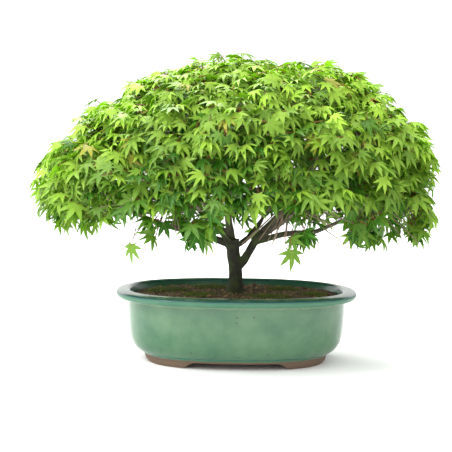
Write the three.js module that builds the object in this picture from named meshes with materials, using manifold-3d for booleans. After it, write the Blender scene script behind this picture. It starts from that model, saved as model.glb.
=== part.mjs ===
// A Japanese maple bonsai in a glazed oval pot, in millimetres, +Z up.
//
// The pot is one fired shell with four bracket feet, two drain holes and a rolled lip. It holds
// a layer of grit, the soil and cushions of moss. The tree is one grown piece of wood: roots,
// trunk, main limbs and the branches that carry the crown. The crown is a dome of leafy pads,
// each seated on the tip of a branch, with some single leaves that stand clear of them.
//
// The origin is the middle of the pot, on the surface that its feet stand on.
import * as THREE from "three";
import { mergeVertices } from "three/addons/utils/BufferGeometryUtils.js";
import Module from "manifold-3d";

const wasm = await Module();
wasm.setup();

// ---------------------------------------------------------------- driving dimensions

const clearance = 0.3; // between two pieces that rest on or in each other

// Pot
const rimLength = 328;
const rimDepth = 244;
const potHeight = 97;
const lipOverhang = 16; // how far the lip stands out past the wall
const lipHeight = 11;
const lipWidth = 20; // across the top, from the inner edge to the outer
const wallThickness = 7;
const floorThickness = 8.4;
const footHeight = 8.6;
const footWidth = 24; // across the foot, from outside to inside
const footGapLength = 140; // between the left and right feet, along the long sides
const footGapDepth = 64; // between the front and back feet, at the ends
const bracketRun = 15; // how far a foot's inner end slopes
const ovalPower = 2.45; // 2 is a true ellipse, and more is squarer
const drainHoleRadius = 11;
const drainHoleSpacing = 116;
const potSegments = 60;

// Drain covers
const meshSide = 36;
const meshThickness = 1.4;
const meshCells = 3;
const meshBar = 2.2;
const wireDiameter = 1.5;
const wireLegSpacing = 18;
const wireFootLength = 9;

// Growing layers
const gritDepth = 10;
const soilBelowRim = 9.5; // at the wall
const soilMound = 4; // how much higher the soil is at the trunk
const soilLumps = 0.9;
const mossHeight = 5;

// Tree
const trunkOffset = -2; // of the trunk from the middle of the pot, along X
const trunkRadius = 8.8; // half way up
const trunkFlare = 4.2; // what the roots add at the soil
const knuckleHeight = 66; // of the top of the trunk, above the rim
const rootReach = 46;
const rootDepth = 26;
const branchRadius = 2.6; // where a branch leaves its limb
const branchTipRadius = 1.2;

// Crown
const crownOffset = -7; // of the crown from the middle of the pot, along X
const apexLean = 12; // of the top of the crown from the middle of the crown, along X
const crownLength = 512;
const crownDepth = 406;
const crownBottom = 180; // of the lowest ring of pads, above the surface
const crownTop = 408;
const crownWaist = 233; // height of the widest part
const skirtSag = 11; // how much lower the skirt hangs at the right end, and higher at the left
const rightShoulder = 0.11; // how much fuller the dome is on the right, and slacker on the left
const padThickness = 46;
const padSeat = 6; // how far a branch tip reaches past the middle of its pad

// Single leaves
const leafThickness = 0.7;
const petioleDiameter = 1.2;
const petioleSeat = 4; // how far a leaf stalk reaches into its pad

// ---------------------------------------------------------------- colours

const finish = (color, roughness, metalness = 0) =>
  new THREE.MeshStandardMaterial({ color, roughness, metalness });
const celadonGlaze = finish(0x6fa283, 0.25);
const meshPlastic = finish(0x2c2c2a, 0.6);
const aluminiumWire = finish(0x8b7560, 0.4, 0.8);
const grit = finish(0x8a7f70, 0.9);
const pottingSoil = finish(0x3c3124, 0.95);
const mossGreen = finish(0x54682a, 0.95);
const mapleBark = finish(0x45443a, 0.85);
const leafGreen = finish(0x6da53a, 0.5);

// ---------------------------------------------------------------- solids from geometry

// One vertex at each place, so that a seam stays shut when it is moved.
function welded(geometry) {
  const bare = geometry.clone();
  bare.deleteAttribute("normal");
  bare.deleteAttribute("uv");
  return mergeVertices(bare, 1e-4);
}

function solidOf(geometry) {
  const merged = welded(geometry);
  return new wasm.Manifold(
    new wasm.Mesh({
      numProp: 3,
      vertProperties: merged.attributes.position.array,
      triVerts: new Uint32Array(merged.index.array),
    }),
  );
}

function geometryOf(solid) {
  const { numVert, numProp, vertProperties, triVerts } = solid.getMesh();
  const position = new Float32Array(numVert * 3);
  for (let i = 0; i < numVert; i++)
    position.set(vertProperties.subarray(i * numProp, i * numProp + 3), i * 3);
  const geometry = new THREE.BufferGeometry();
  geometry.setAttribute("position", new THREE.BufferAttribute(position, 3));
  geometry.setIndex(new THREE.BufferAttribute(new Uint32Array(triVerts), 1));
  geometry.computeVertexNormals();
  return geometry;
}

// A cut can leave a crumb beside the piece that matters.
function largestOf(solid) {
  const bodies = solid.decompose();
  return bodies.reduce((best, body) => (body.volume() > best.volume() ? body : best));
}

const object = new THREE.Group();

function place(name, solid, material) {
  const mesh = new THREE.Mesh(geometryOf(largestOf(solid)), material);
  mesh.name = name;
  object.add(mesh);
}

// The same numbers from 0 to 1 on every run.
function seededRandom(seed) {
  let state = seed;
  return () => {
    state = (state * 1664525 + 1013904223) % 4294967296;
    return state / 4294967296;
  };
}

// Moves every vertex of a geometry by a function of its place.
function reshape(geometry, move) {
  const shut = welded(geometry);
  const position = shut.attributes.position;
  const point = new THREE.Vector3();
  for (let i = 0; i < position.count; i++) {
    move(point.fromBufferAttribute(position, i));
    position.setXYZ(i, point.x, point.y, point.z);
  }
  return shut;
}

// ---------------------------------------------------------------- the pot's oval plan

const rimHalf = rimLength / 2;
const ovalCore = 0.6 * rimHalf; // inside this the oval only scales down

// The half depth of the oval ring whose half length is r.
function ovalDepth(r) {
  const offsetShare = 0.85; // the ends draw in a little faster than the long sides
  const ring = (half) => rimDepth / 2 - offsetShare * (rimHalf - half);
  return r > ovalCore ? ring(r) : (r * ring(ovalCore)) / ovalCore;
}

// Turns a profile of [half length, height] points round the oval, from the axis to the axis or
// closed on itself.
function ovalLathe(profile) {
  const points = profile.map(([r, z]) => new THREE.Vector2(r, z));
  return reshape(new THREE.LatheGeometry(points, potSegments), (p) => {
    const r = Math.hypot(p.x, p.z);
    const turn = Math.atan2(p.x, p.z);
    const along = (c) => Math.sign(c) * Math.abs(c) ** (2 / ovalPower);
    p.set(r * along(Math.cos(turn)), ovalDepth(r) * along(Math.sin(turn)), p.y);
  });
}

// The share of the way from the middle to the ring of half length r at which a point lies.
function ovalShare(x, y, r) {
  return (Math.abs(x / r) ** ovalPower + Math.abs(y / ovalDepth(r)) ** ovalPower) ** (1 / ovalPower);
}

function uprightCylinder(radius, height, x, y, z, sides = 20) {
  return new THREE.CylinderGeometry(radius, radius, height, sides)
    .rotateX(Math.PI / 2)
    .translate(x, y, z + height / 2);
}

// ---------------------------------------------------------------- pot

const wallHalf = rimHalf - lipOverhang;
const innerHalf = wallHalf - wallThickness;
const mouthHalf = rimHalf - lipWidth;
const lipUnder = potHeight - lipHeight;
const floorTop = footHeight + floorThickness;
const bandHalf = wallHalf - 22; // the narrow band that the belly stands on
const footHalf = bandHalf - 6; // at the ground
const drainHoles = [-1, 1].map((side) => (side * drainHoleSpacing) / 2);

const outerWall = [
  [bandHalf - 2, footHeight],
  [bandHalf + 2, footHeight + 5.4],
  [bandHalf + 6.5, footHeight + 7.4],
  [bandHalf + 12, footHeight + 13],
  [bandHalf + 16.5, footHeight + 21],
  [bandHalf + 20, footHeight + 37],
  [wallHalf, footHeight + 60],
];
const lip = [
  [wallHalf + 1, lipUnder],
  [rimHalf - 3, lipUnder + 1],
  [rimHalf, lipUnder + 5],
  [rimHalf - 1.6, lipUnder + 8],
  [rimHalf - 6, potHeight - 1.4],
  [mouthHalf + 3, potHeight],
  [mouthHalf, potHeight - 2],
];
const innerWall = [
  [innerHalf - 0.5, lipUnder - 3],
  [innerHalf, footHeight + 44],
  [bandHalf + 9, footHeight + 21],
  [bandHalf - 4, floorTop + 4],
  [bandHalf - 12, floorTop],
];

// What is cut out between two feet: flat on top, with a stepped slope at each end. It lies in
// the XZ plane and runs along Y.
function footGap(length, reach) {
  const half = length / 2;
  const below = -1;
  const slope = [
    [half, below],
    [half, 0],
    [half - 0.4 * bracketRun, 0.45 * footHeight],
    [half - 0.6 * bracketRun, 0.7 * footHeight],
    [half - bracketRun, footHeight],
  ];
  const mirrored = slope.map(([x, z]) => [-x, z]).reverse();
  const outline = new THREE.Shape([...slope, ...mirrored].map(([x, z]) => new THREE.Vector2(x, z)));
  return new THREE.ExtrudeGeometry(outline, { depth: reach, bevelEnabled: false })
    .rotateX(Math.PI / 2)
    .translate(0, reach / 2, 0);
}

function footRing() {
  const ring = ovalLathe([
    [footHalf - footWidth, 0],
    [footHalf, 0],
    [footHalf + 3, 0.5 * footHeight],
    [bandHalf - 2, footHeight],
    [bandHalf - 2, footHeight + 1],
    [footHalf - footWidth - 4, footHeight + 1],
    [footHalf - footWidth, 0],
  ]);
  const longGap = footGap(footGapLength, rimLength);
  const endGap = footGap(footGapDepth, 2 * rimLength).rotateZ(Math.PI / 2);
  return solidOf(ring).subtract(solidOf(longGap)).subtract(solidOf(endGap));
}

function potSolid() {
  const body = ovalLathe([[0, footHeight], ...outerWall, ...lip, ...innerWall, [0, floorTop]]);
  let pot = solidOf(body).add(footRing());
  for (const x of drainHoles)
    pot = pot.subtract(solidOf(uprightCylinder(drainHoleRadius, 2 * floorTop, x, 0, -1)));
  return pot;
}

// ---------------------------------------------------------------- drain covers

const meshBottom = floorTop + clearance;
const meshTop = meshBottom + meshThickness;

function drainMesh(x) {
  const bars = [];
  for (let i = 0; i <= meshCells; i++) {
    const offset = (i / meshCells - 0.5) * (meshSide - meshBar);
    bars.push(new THREE.BoxGeometry(meshSide, meshBar, meshThickness).translate(0, offset, 0));
    bars.push(new THREE.BoxGeometry(meshBar, meshSide, meshThickness).translate(offset, 0, 0));
  }
  const solids = bars.map((bar) => solidOf(bar.translate(x, 0, meshBottom + meshThickness / 2)));
  return solids.reduce((grid, bar) => grid.add(bar));
}

// The wire runs over the mesh, down through two of its cells and the hole, and out under the
// pot's floor on both sides.
const wireRadius = wireDiameter / 2;
const wireTop = meshTop + clearance + wireRadius;
const wireFoot = footHeight - clearance - wireRadius;

function meshWire(x) {
  const leg = wireLegSpacing / 2;
  const bend = 1.6;
  const half = [
    [leg + wireFootLength, wireFoot],
    [leg + bend, wireFoot],
    [leg, wireFoot + bend],
    [leg, wireTop - bend],
    [leg - bend, wireTop],
  ];
  const points = [...half, ...half.map(([u, z]) => [-u, z]).reverse()].map(
    ([u, z]) => new THREE.Vector3(x + u, 0, z),
  );
  const route = new THREE.CatmullRomCurve3(points, false, "catmullrom", 0.1);
  return limbGeometry(route, () => wireRadius, 6, 22);
}

// ---------------------------------------------------------------- grit, soil and moss

const fillGap = clearance + 0.1; // the fill is faceted inside a faceted wall

function inside([r, z]) {
  return [r - fillGap, z];
}

function gritLayer() {
  const top = floorTop + gritDepth;
  const layer = ovalLathe([
    [0, floorTop + clearance],
    [bandHalf - 13, floorTop + clearance],
    [bandHalf - 5, floorTop + 4 + clearance],
    [bandHalf - 0.5, top],
    [0, top],
  ]);
  let solid = solidOf(layer);
  for (const x of drainHoles) {
    const side = meshSide + 2 * clearance;
    const height = wireTop + wireRadius + clearance - floorTop + 1;
    const pocket = new THREE.BoxGeometry(side, side, height).translate(x, 0, floorTop + height / 2 - 1);
    solid = solid.subtract(solidOf(pocket));
  }
  return solid;
}

const soilEdge = potHeight - soilBelowRim;
const soilHalf = innerHalf - 0.5 - fillGap;

// The height of the soil at a place: a low mound round the trunk, with clods.
function soilHeight(x, y) {
  const share = Math.min(1, ovalShare(x, y, soilHalf));
  const mound = soilMound * (1 - share * share);
  const lumps = Math.sin(0.11 * x + 0.7) * Math.cos(0.13 * y - 0.4) + 0.6 * Math.sin(0.21 * x - 0.17 * y);
  return soilEdge + mound + soilLumps * lumps * (1 - share ** 6);
}

function soilGeometry() {
  const bottom = floorTop + gritDepth + clearance;
  const shares = [1, 0.8, 0.5, 0.2];
  const side = [
    [bandHalf - 0.5, bottom],
    inside([bandHalf + 9, footHeight + 21]),
    inside([innerHalf, footHeight + 44]),
  ];
  const top = shares.map((share) => [share * soilHalf, soilEdge]);
  const profile = [[0, bottom], ...side, ...top, [0, soilEdge]];
  return reshape(ovalLathe(profile), (p) => {
    if (p.z > soilEdge - 0.01) p.z = soilHeight(p.x, p.y);
  });
}

// Each cushion of moss: its middle and its half sizes along X and Y.
const mossCushions = [
  { x: -92, y: 22, length: 34, depth: 22 },
  { x: -50, y: -30, length: 26, depth: 20 },
  { x: -38, y: 48, length: 30, depth: 16 },
  { x: 44, y: -38, length: 34, depth: 18 },
  { x: 64, y: 40, length: 26, depth: 17 },
  { x: 104, y: -4, length: 22, depth: 20 },
];

function mossGeometry({ x, y, length, depth }) {
  const ball = new THREE.SphereGeometry(1, 10, 5);
  return reshape(ball, (p) => {
    const turn = Math.atan2(p.y, p.x);
    const edge = 1 + 0.13 * Math.sin(3 * turn + x) + 0.08 * Math.sin(5 * turn + y);
    const height = soilHeight(x, y) - 0.5 + mossHeight * p.z;
    p.set(x + length * edge * p.x, y + depth * edge * p.y, height);
  });
}

// ---------------------------------------------------------------- wood

// A closed tube along a curve, with a radius that changes along it. A capped cylinder is bent
// to the curve, so both ends are closed.
function limbGeometry(curve, radiusAt, sides, steps) {
  const frames = curve.computeFrenetFrames(steps);
  return reshape(new THREE.CylinderGeometry(1, 1, 1, sides, steps), (p) => {
    const share = p.y + 0.5;
    const step = Math.round(share * steps);
    const radius = radiusAt(share);
    const centre = curve.getPointAt(share);
    const across = p.x * radius;
    const up = p.z * radius;
    p.copy(centre).addScaledVector(frames.binormals[step], across).addScaledVector(frames.normals[step], up);
  });
}

const curveThrough = (points) => new THREE.CatmullRomCurve3(points.map((p) => new THREE.Vector3(...p)));
const taper = (from, to) => (share) => from + (to - from) * share ** 0.8;

const knuckle = potHeight + knuckleHeight;
const forkHeight = knuckle - 34; // where the second stem leaves the trunk
const trunkTop = trunkOffset - 5;

// The main limbs: the points each runs through, and its radius at both ends. The first is the
// second stem, which leaves the trunk low down and carries the right side of the crown.
const limbs = [
  {
    points: [
      [trunkOffset, 0, forkHeight - 8],
      [12, -1, forkHeight + 8],
      [24, -2, knuckle - 2],
      [38, 0, knuckle + 14],
    ],
    radii: [6.8, 5.6],
  },
  {
    points: [
      [22, -2, knuckle - 4],
      [60, -6, knuckle + 8],
      [112, -8, knuckle + 14],
      [186, -4, knuckle + 52],
    ],
    radii: [5, 2],
  },
  {
    points: [[38, 0, knuckle + 14], [74, 14, knuckle + 52], [112, 26, knuckle + 112]],
    radii: [5.2, 2.2],
  },
  { points: [[26, 0, knuckle], [56, -44, knuckle + 24], [84, -96, knuckle + 54]], radii: [4.4, 2] },
  {
    points: [[34, 2, knuckle + 8], [66, 50, knuckle + 26], [96, 104, knuckle + 60]],
    radii: [4.4, 2],
  },
  {
    points: [
      [trunkTop, 0, knuckle - 8],
      [-36, 4, knuckle + 4],
      [-108, 8, knuckle + 20],
      [-182, 6, knuckle + 56],
    ],
    radii: [5.8, 2],
  },
  {
    points: [
      [trunkTop, 0, knuckle - 4],
      [-14, 4, knuckle + 44],
      [-4, 6, knuckle + 112],
      [4, 2, knuckle + 176],
    ],
    radii: [6.4, 2],
  },
  {
    points: [[trunkTop, 0, knuckle - 6], [-44, 10, knuckle + 46], [-96, 16, knuckle + 112]],
    radii: [5, 2.2],
  },
  {
    points: [[trunkTop, 0, knuckle - 8], [-26, -40, knuckle + 18], [-58, -104, knuckle + 56]],
    radii: [4.8, 2],
  },
  {
    points: [[trunkTop, 0, knuckle - 8], [-28, 42, knuckle + 22], [-62, 108, knuckle + 60]],
    radii: [4.8, 2],
  },
  {
    points: [[trunkTop, 0, knuckle - 12], [12, 14, knuckle - 2], [34, 30, knuckle + 24]],
    radii: [4.4, 3.2],
  },
];
const limbCurves = limbs.map(({ points }) => curveThrough(points));

function trunkGeometry(grow) {
  const base = soilEdge - rootDepth;
  const curve = curveThrough([
    [trunkOffset, 0, base],
    [trunkOffset, 0, soilEdge + soilMound],
    [trunkOffset + 1, 0, forkHeight - 14],
    [trunkOffset - 2, 0, knuckle - 24],
    [trunkTop, 0, knuckle],
  ]);
  const length = knuckle - base;
  const radiusAt = (share) => {
    const aboveSoil = share * length - rootDepth - soilMound;
    const flare = trunkFlare * Math.exp(-Math.abs(aboveSoil) / 9);
    const knob = 1.8 * Math.exp(-(((1 - share) * length) ** 2) / 60);
    return trunkRadius + flare + knob + grow;
  };
  return limbGeometry(curve, radiusAt, 12, 9);
}

const rootCount = 6;

function rootGeometry(index, grow) {
  const turn = ((index + 0.35) / rootCount) * 2 * Math.PI;
  const reach = rootReach * (1 - 0.2 * (index % 2));
  const at = (distance, z) => [trunkOffset + distance * Math.cos(turn), distance * Math.sin(turn), z];
  const surface = soilEdge + soilMound;
  const curve = curveThrough([
    at(2, surface + 3),
    at(0.35 * reach, surface - 2),
    at(reach, surface - rootDepth),
  ]);
  return limbGeometry(curve, (share) => 5.2 - 3.6 * share + grow, 6, 3);
}

// ---------------------------------------------------------------- crown

const halfLength = (crownLength - padThickness) / 2; // of the shell that the pads' middles lie on
const halfDepth = (crownDepth - padThickness) / 2;
const waistToTop = crownTop - crownWaist - padThickness / 2;

// Rings of pads, from the top down: how far each ring lies from the top of the dome in degrees,
// how many pads it has, and a pad's half sizes round and down the dome.
const rings = [
  { tilt: 2, count: 1, round: 88, down: 74 },
  { tilt: 33, count: 6, round: 80, down: 62 },
  { tilt: 62, count: 8, round: 86, down: 62 },
  { tilt: 91, count: 10, round: 82, down: crownWaist - crownBottom },
];

function layPads() {
  const random = seededRandom(11);
  const jitter = (spread) => spread * (2 * random() - 1);
  const pads = [];
  for (const { tilt, count, round, down } of rings)
    for (let i = 0; i < count; i++) {
      const theta = THREE.MathUtils.degToRad(tilt + jitter(3));
      const phi = ((i + 0.5 * (count % 2)) / count) * 2 * Math.PI + jitter(0.06);
      const full = 1 + rightShoulder * Math.cos(phi) * Math.sin(2 * theta) * Math.sin(theta);
      const wide = full * Math.sin(theta) * (1 + jitter(0.03));
      const tall = full * waistToTop * Math.cos(theta) - skirtSag * Math.cos(phi) * Math.sin(theta) ** 4;
      const centre = new THREE.Vector3(
        crownOffset + apexLean * Math.max(0, Math.cos(theta)) + halfLength * wide * Math.cos(phi),
        halfDepth * wide * Math.sin(phi),
        crownWaist + tall,
      );
      const outward = new THREE.Vector3(
        Math.cos(phi) * Math.sin(theta) * (waistToTop / halfLength),
        Math.sin(phi) * Math.sin(theta) * (waistToTop / halfDepth),
        Math.cos(theta),
      ).normalize();
      pads.push({ centre, outward, phi, round: round + jitter(5), down: down + jitter(4) });
    }
  return pads;
}

const pads = layPads();

// An uneven lens, flattened along the way the dome faces. grow makes it thicker all round.
function padGeometry({ centre, outward, phi, round, down }, grow = 0) {
  const sideways = new THREE.Vector3(-Math.sin(phi), Math.cos(phi), 0);
  const downwards = new THREE.Vector3().crossVectors(sideways, outward).normalize();
  const across = new THREE.Vector3().crossVectors(downwards, outward);
  const frame = new THREE.Matrix4().makeBasis(across, downwards, outward).setPosition(centre);
  return reshape(new THREE.SphereGeometry(1, 11, 6).rotateX(Math.PI / 2), (p) => {
    const swell = 0.07 * Math.sin(4 * p.x + 3 * phi) * Math.cos(3 * p.y - phi);
    p.multiplyScalar(1 + swell + 0.03 * Math.sin(7 * p.y + p.x));
    p.x *= round + grow;
    p.y *= down + grow;
    p.z *= padThickness / 2 + grow;
    p.applyMatrix4(frame);
  });
}

// The place on the limbs nearest to a pad, beyond the first part of each limb.
function nearestOnLimbs(target) {
  let best = null;
  for (const curve of limbCurves)
    for (let share = 0.35; share <= 1; share += 0.05) {
      const point = curve.getPointAt(Math.min(share, 1));
      const tangent = curve.getTangentAt(Math.min(share, 1));
      const distance = point.distanceTo(target);
      if (!best || distance < best.distance) best = { point, distance, tangent };
    }
  return best;
}

// A branch leaves its limb along the limb, bows upwards and ends inside its pad.
function branchGeometry(pad, grow) {
  const start = nearestOnLimbs(pad.centre);
  const tip = pad.centre.clone().addScaledVector(pad.outward, padSeat - padThickness / 4);
  const lead = start.point.clone().addScaledVector(start.tangent, 0.28 * start.distance);
  const middle = start.point.clone().lerp(tip, 0.55);
  middle.lerp(lead, 0.3);
  middle.z += 0.06 * start.distance;
  const curve = new THREE.CatmullRomCurve3([start.point, middle, tip]);
  return limbGeometry(curve, (share) => taper(branchRadius, branchTipRadius)(share) + grow, 5, 2);
}

// All the wood above and below the soil. grow makes every part of it thicker, for cutting its
// seat in the soil and the pads.
function woodSolid(grow = 0) {
  const pieces = [trunkGeometry(grow)];
  for (let i = 0; i < rootCount; i++) pieces.push(rootGeometry(i, grow));
  limbs.forEach(({ radii: [from, to] }, i) => {
    pieces.push(limbGeometry(limbCurves[i], (share) => taper(from, to)(share) + grow, 6, 4));
  });
  for (const pad of pads) pieces.push(branchGeometry(pad, grow));
  return pieces.map(solidOf).reduce((wood, piece) => wood.add(piece));
}

// ---------------------------------------------------------------- single leaves

// A palmate leaf with seven pointed lobes, flat in the XY plane, its stalk end at the origin
// and its middle lobe along +Y. Each lobe is [degrees from the middle, share of the length].
const lobes = [
  [0, 1],
  [36, 0.9],
  [73, 0.7],
  [112, 0.42],
];

function leafOutline(length) {
  const side = (sign, list) => list.map(([degrees, share]) => [sign * degrees, share]);
  const ordered = [...side(-1, lobes.slice(1)).reverse(), lobes[0], ...side(1, lobes.slice(1))];
  const at = (degrees, radius) => {
    const turn = THREE.MathUtils.degToRad(90 - degrees);
    return new THREE.Vector2(radius * Math.cos(turn), radius * Math.sin(turn));
  };
  const outline = [at(180, 0.04 * length)];
  ordered.forEach(([degrees, share], i) => {
    const reach = share * length;
    if (i > 0) outline.push(at((degrees + ordered[i - 1][0]) / 2, 0.46 * reach));
    outline.push(at(degrees, reach));
  });
  return new THREE.Shape(outline.reverse());
}

// Each single leaf: the direction from the crown's middle of the place it grows from, the way
// its stalk points, the lengths of the blade and the stalk, and how far the blade hangs below
// its stalk, in degrees.
const singleLeaves = [
  {
    name: "leaf_left_tip",
    from: [-1, -0.05, 0.2], way: [-1, 0, 0.3],
    length: 22, stalk: 8, hang: 70,
  },
  {
    name: "leaf_left_low",
    from: [-0.9, -0.3, -0.4], way: [-0.8, -0.2, -0.5],
    length: 23, stalk: 10, hang: 35,
  },
  {
    name: "leaf_left_hanging",
    from: [-0.5, -0.8, -0.9], way: [-0.2, -0.2, -1],
    length: 25, stalk: 18, hang: 8,
  },
  {
    name: "leaf_left_shoulder",
    from: [-0.66, 0, 0.6], way: [-0.8, 0, 0.6],
    length: 22, stalk: 9, hang: 62,
  },
  {
    name: "leaf_crown_left",
    from: [-0.4, -0.15, 0.85], way: [-0.5, -0.2, 1],
    length: 22, stalk: 8, hang: 75,
  },
  {
    name: "leaf_crown_top",
    from: [0.04, -0.1, 1], way: [0.3, -0.4, 1],
    length: 23, stalk: 8, hang: 80,
  },
  {
    name: "leaf_right_shoulder",
    from: [0.75, -0.1, 0.6], way: [0.9, 0, 0.5],
    length: 24, stalk: 9, hang: 60,
  },
  {
    name: "leaf_right_tip",
    from: [1, 0.05, 0.1], way: [1, 0, 0.25],
    length: 24, stalk: 8, hang: 65,
  },
  {
    name: "leaf_right_low",
    from: [0.9, -0.3, -0.9], way: [0.4, -0.2, -1],
    length: 25, stalk: 12, hang: 12,
  },
  {
    name: "leaf_right_hanging",
    from: [0.3, -0.9, -0.9], way: [0.1, -0.2, -1],
    length: 26, stalk: 14, hang: 8,
  },
  {
    name: "leaf_back_hanging",
    from: [0.1, 0.95, -0.9], way: [-0.1, 0.25, -1],
    length: 26, stalk: 14, hang: 8,
  },
];

// The point of the pads' outside that lies nearest to a direction from the crown's middle.
function crownSurface([x, y, z]) {
  const heart = new THREE.Vector3(crownOffset, 0, crownWaist);
  const tall = z > 0 ? waistToTop : crownWaist - crownBottom;
  const aim = new THREE.Vector3(x * halfLength, y * halfDepth, z * tall).normalize();
  const point = new THREE.Vector3();
  const best = new THREE.Vector3();
  let closest = -Infinity;
  for (const pad of pads) {
    const { position } = padGeometry(pad).attributes;
    for (let i = 0; i < position.count; i++) {
      point.fromBufferAttribute(position, i).sub(heart);
      const closeness = point.dot(aim) - 4 * point.clone().cross(aim).length();
      if (closeness > closest) {
        closest = closeness;
        best.copy(point).add(heart);
      }
    }
  }
  return best;
}

// The stalk and the blade as one solid, in place.
function leafSolid({ way, length, stalk, hang }, root, grow = 0) {
  const aim = new THREE.Vector3(...way).normalize();
  const start = root.clone().addScaledVector(aim, -petioleSeat);
  const end = root.clone().addScaledVector(aim, stalk);
  const middle = start.clone().lerp(end, 0.5).add(new THREE.Vector3(0, 0, 0.05 * stalk));
  const curve = new THREE.CatmullRomCurve3([start, middle, end]);
  const petiole = limbGeometry(curve, () => petioleDiameter / 2 + grow, 5, 3);
  // The blade faces up and outwards, and hangs below the stalk.
  const flat = new THREE.Vector3(aim.y, -aim.x, 0).normalize();
  const along = aim.clone().applyAxisAngle(flat, THREE.MathUtils.degToRad(-hang));
  const facing = new THREE.Vector3().crossVectors(flat, along).normalize();
  const frame = new THREE.Matrix4().makeBasis(flat, along, facing).setPosition(end);
  const blade = new THREE.ExtrudeGeometry(leafOutline(length), {
    depth: leafThickness + 2 * grow,
    bevelEnabled: false,
  }).translate(0, 0, -leafThickness / 2 - grow);
  const droop = reshape(blade, (p) => {
    const reach = Math.hypot(p.x, p.y) / length;
    p.z -= 0.16 * length * reach * reach;
  });
  return solidOf(petiole).add(solidOf(droop.applyMatrix4(frame)));
}

// ---------------------------------------------------------------- assembly

place("pot", potSolid(), celadonGlaze);

drainHoles.forEach((x, i) => {
  const side = ["left", "right"][i];
  place(`drain_mesh_${side}`, drainMesh(x), meshPlastic);
  place(`drain_mesh_wire_${side}`, solidOf(meshWire(x)), aluminiumWire);
});

const wood = woodSolid();
const woodSeat = woodSolid(clearance);
const soil = solidOf(soilGeometry()).subtract(woodSeat);
place("grit_layer", gritLayer(), grit);
place("soil", soil, pottingSoil);
place("trunk_and_branches", wood, mapleBark);

const soilSeat = solidOf(soilGeometry().translate(0, 0, clearance));
mossCushions.forEach((cushion, i) => {
  const moss = solidOf(mossGeometry(cushion)).subtract(soilSeat);
  place(`moss_cushion_${i + 1}`, moss, mossGreen);
});

let taken = woodSeat;
for (const leaf of singleLeaves) {
  const root = crownSurface(leaf.from);
  place(leaf.name, leafSolid(leaf, root), leafGreen);
  taken = taken.add(leafSolid(leaf, root, clearance));
}
pads.forEach((pad, i) => {
  const name = `foliage_pad_${String(i + 1).padStart(2, "0")}`;
  place(name, solidOf(padGeometry(pad)).subtract(taken), leafGreen);
  taken = taken.add(solidOf(padGeometry(pad, clearance)));
});

export default object;
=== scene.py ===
"""A Japanese maple bonsai in a glazed oval pot: the finished pieces, built round its CAD frame.

Every piece is an operator of its own, and the sizes and colours that a user would change are in
the property groups. All lengths are in metres, and the frame's own sizes come from its nodes.
"""

import math
import random

import bmesh
import bpy
from bpy.props import FloatProperty, FloatVectorProperty, IntProperty, PointerProperty
from mathutils import Matrix, Vector, noise
from mathutils.bvhtree import BVHTree


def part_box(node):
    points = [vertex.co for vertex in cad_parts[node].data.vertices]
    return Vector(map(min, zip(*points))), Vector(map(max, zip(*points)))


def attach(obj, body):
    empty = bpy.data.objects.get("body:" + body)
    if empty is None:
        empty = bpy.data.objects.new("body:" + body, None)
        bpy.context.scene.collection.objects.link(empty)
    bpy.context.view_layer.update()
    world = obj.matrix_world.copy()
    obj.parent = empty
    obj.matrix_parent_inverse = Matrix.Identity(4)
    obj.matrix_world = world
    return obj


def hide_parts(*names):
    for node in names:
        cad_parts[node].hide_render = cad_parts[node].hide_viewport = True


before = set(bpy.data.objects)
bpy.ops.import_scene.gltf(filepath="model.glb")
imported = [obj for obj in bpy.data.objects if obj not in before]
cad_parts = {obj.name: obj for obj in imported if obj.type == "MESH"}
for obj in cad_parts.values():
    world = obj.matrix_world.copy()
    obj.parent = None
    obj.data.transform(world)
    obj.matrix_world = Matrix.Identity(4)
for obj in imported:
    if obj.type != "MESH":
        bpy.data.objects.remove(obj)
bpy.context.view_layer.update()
MM = 0.001

# Half the rim's length, half its depth, and its height above the ground.
RIM_LENGTH, RIM_DEPTH, RIM_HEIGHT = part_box("pot")[1]
# How far the foot band stands in from the wall.
BAND_INSET = 22 * MM

bl_info = {
    "name": "Maple Bonsai",
    "version": (1, 0, 0),
    "blender": (4, 5, 0),
    "location": "3D View > Sidebar > Bonsai",
    "description": "Builds a maple bonsai in a glazed oval pot round its CAD frame",
    "category": "Object",
}


# ------------------------------------------------------------------ settings


def linear(hex_colour):
    """An sRGB hex colour as linear red, green, blue and an alpha of 1."""
    parts = [int(hex_colour[i : i + 2], 16) / 255 for i in (1, 3, 5)]
    return tuple(c / 12.92 if c <= 0.04045 else ((c + 0.055) / 1.055) ** 2.4 for c in parts) + (1,)


def length(name, description, millimetres):
    """A length that a user can change."""
    return FloatProperty(name=name, description=description, default=millimetres * MM, unit="LENGTH")


def colour(name, description, hex_colour):
    """A colour that a user can change."""
    shade = linear(hex_colour)
    return FloatVectorProperty(
        name=name, description=description, subtype="COLOR", size=4, min=0, max=1, default=shade
    )


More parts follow.
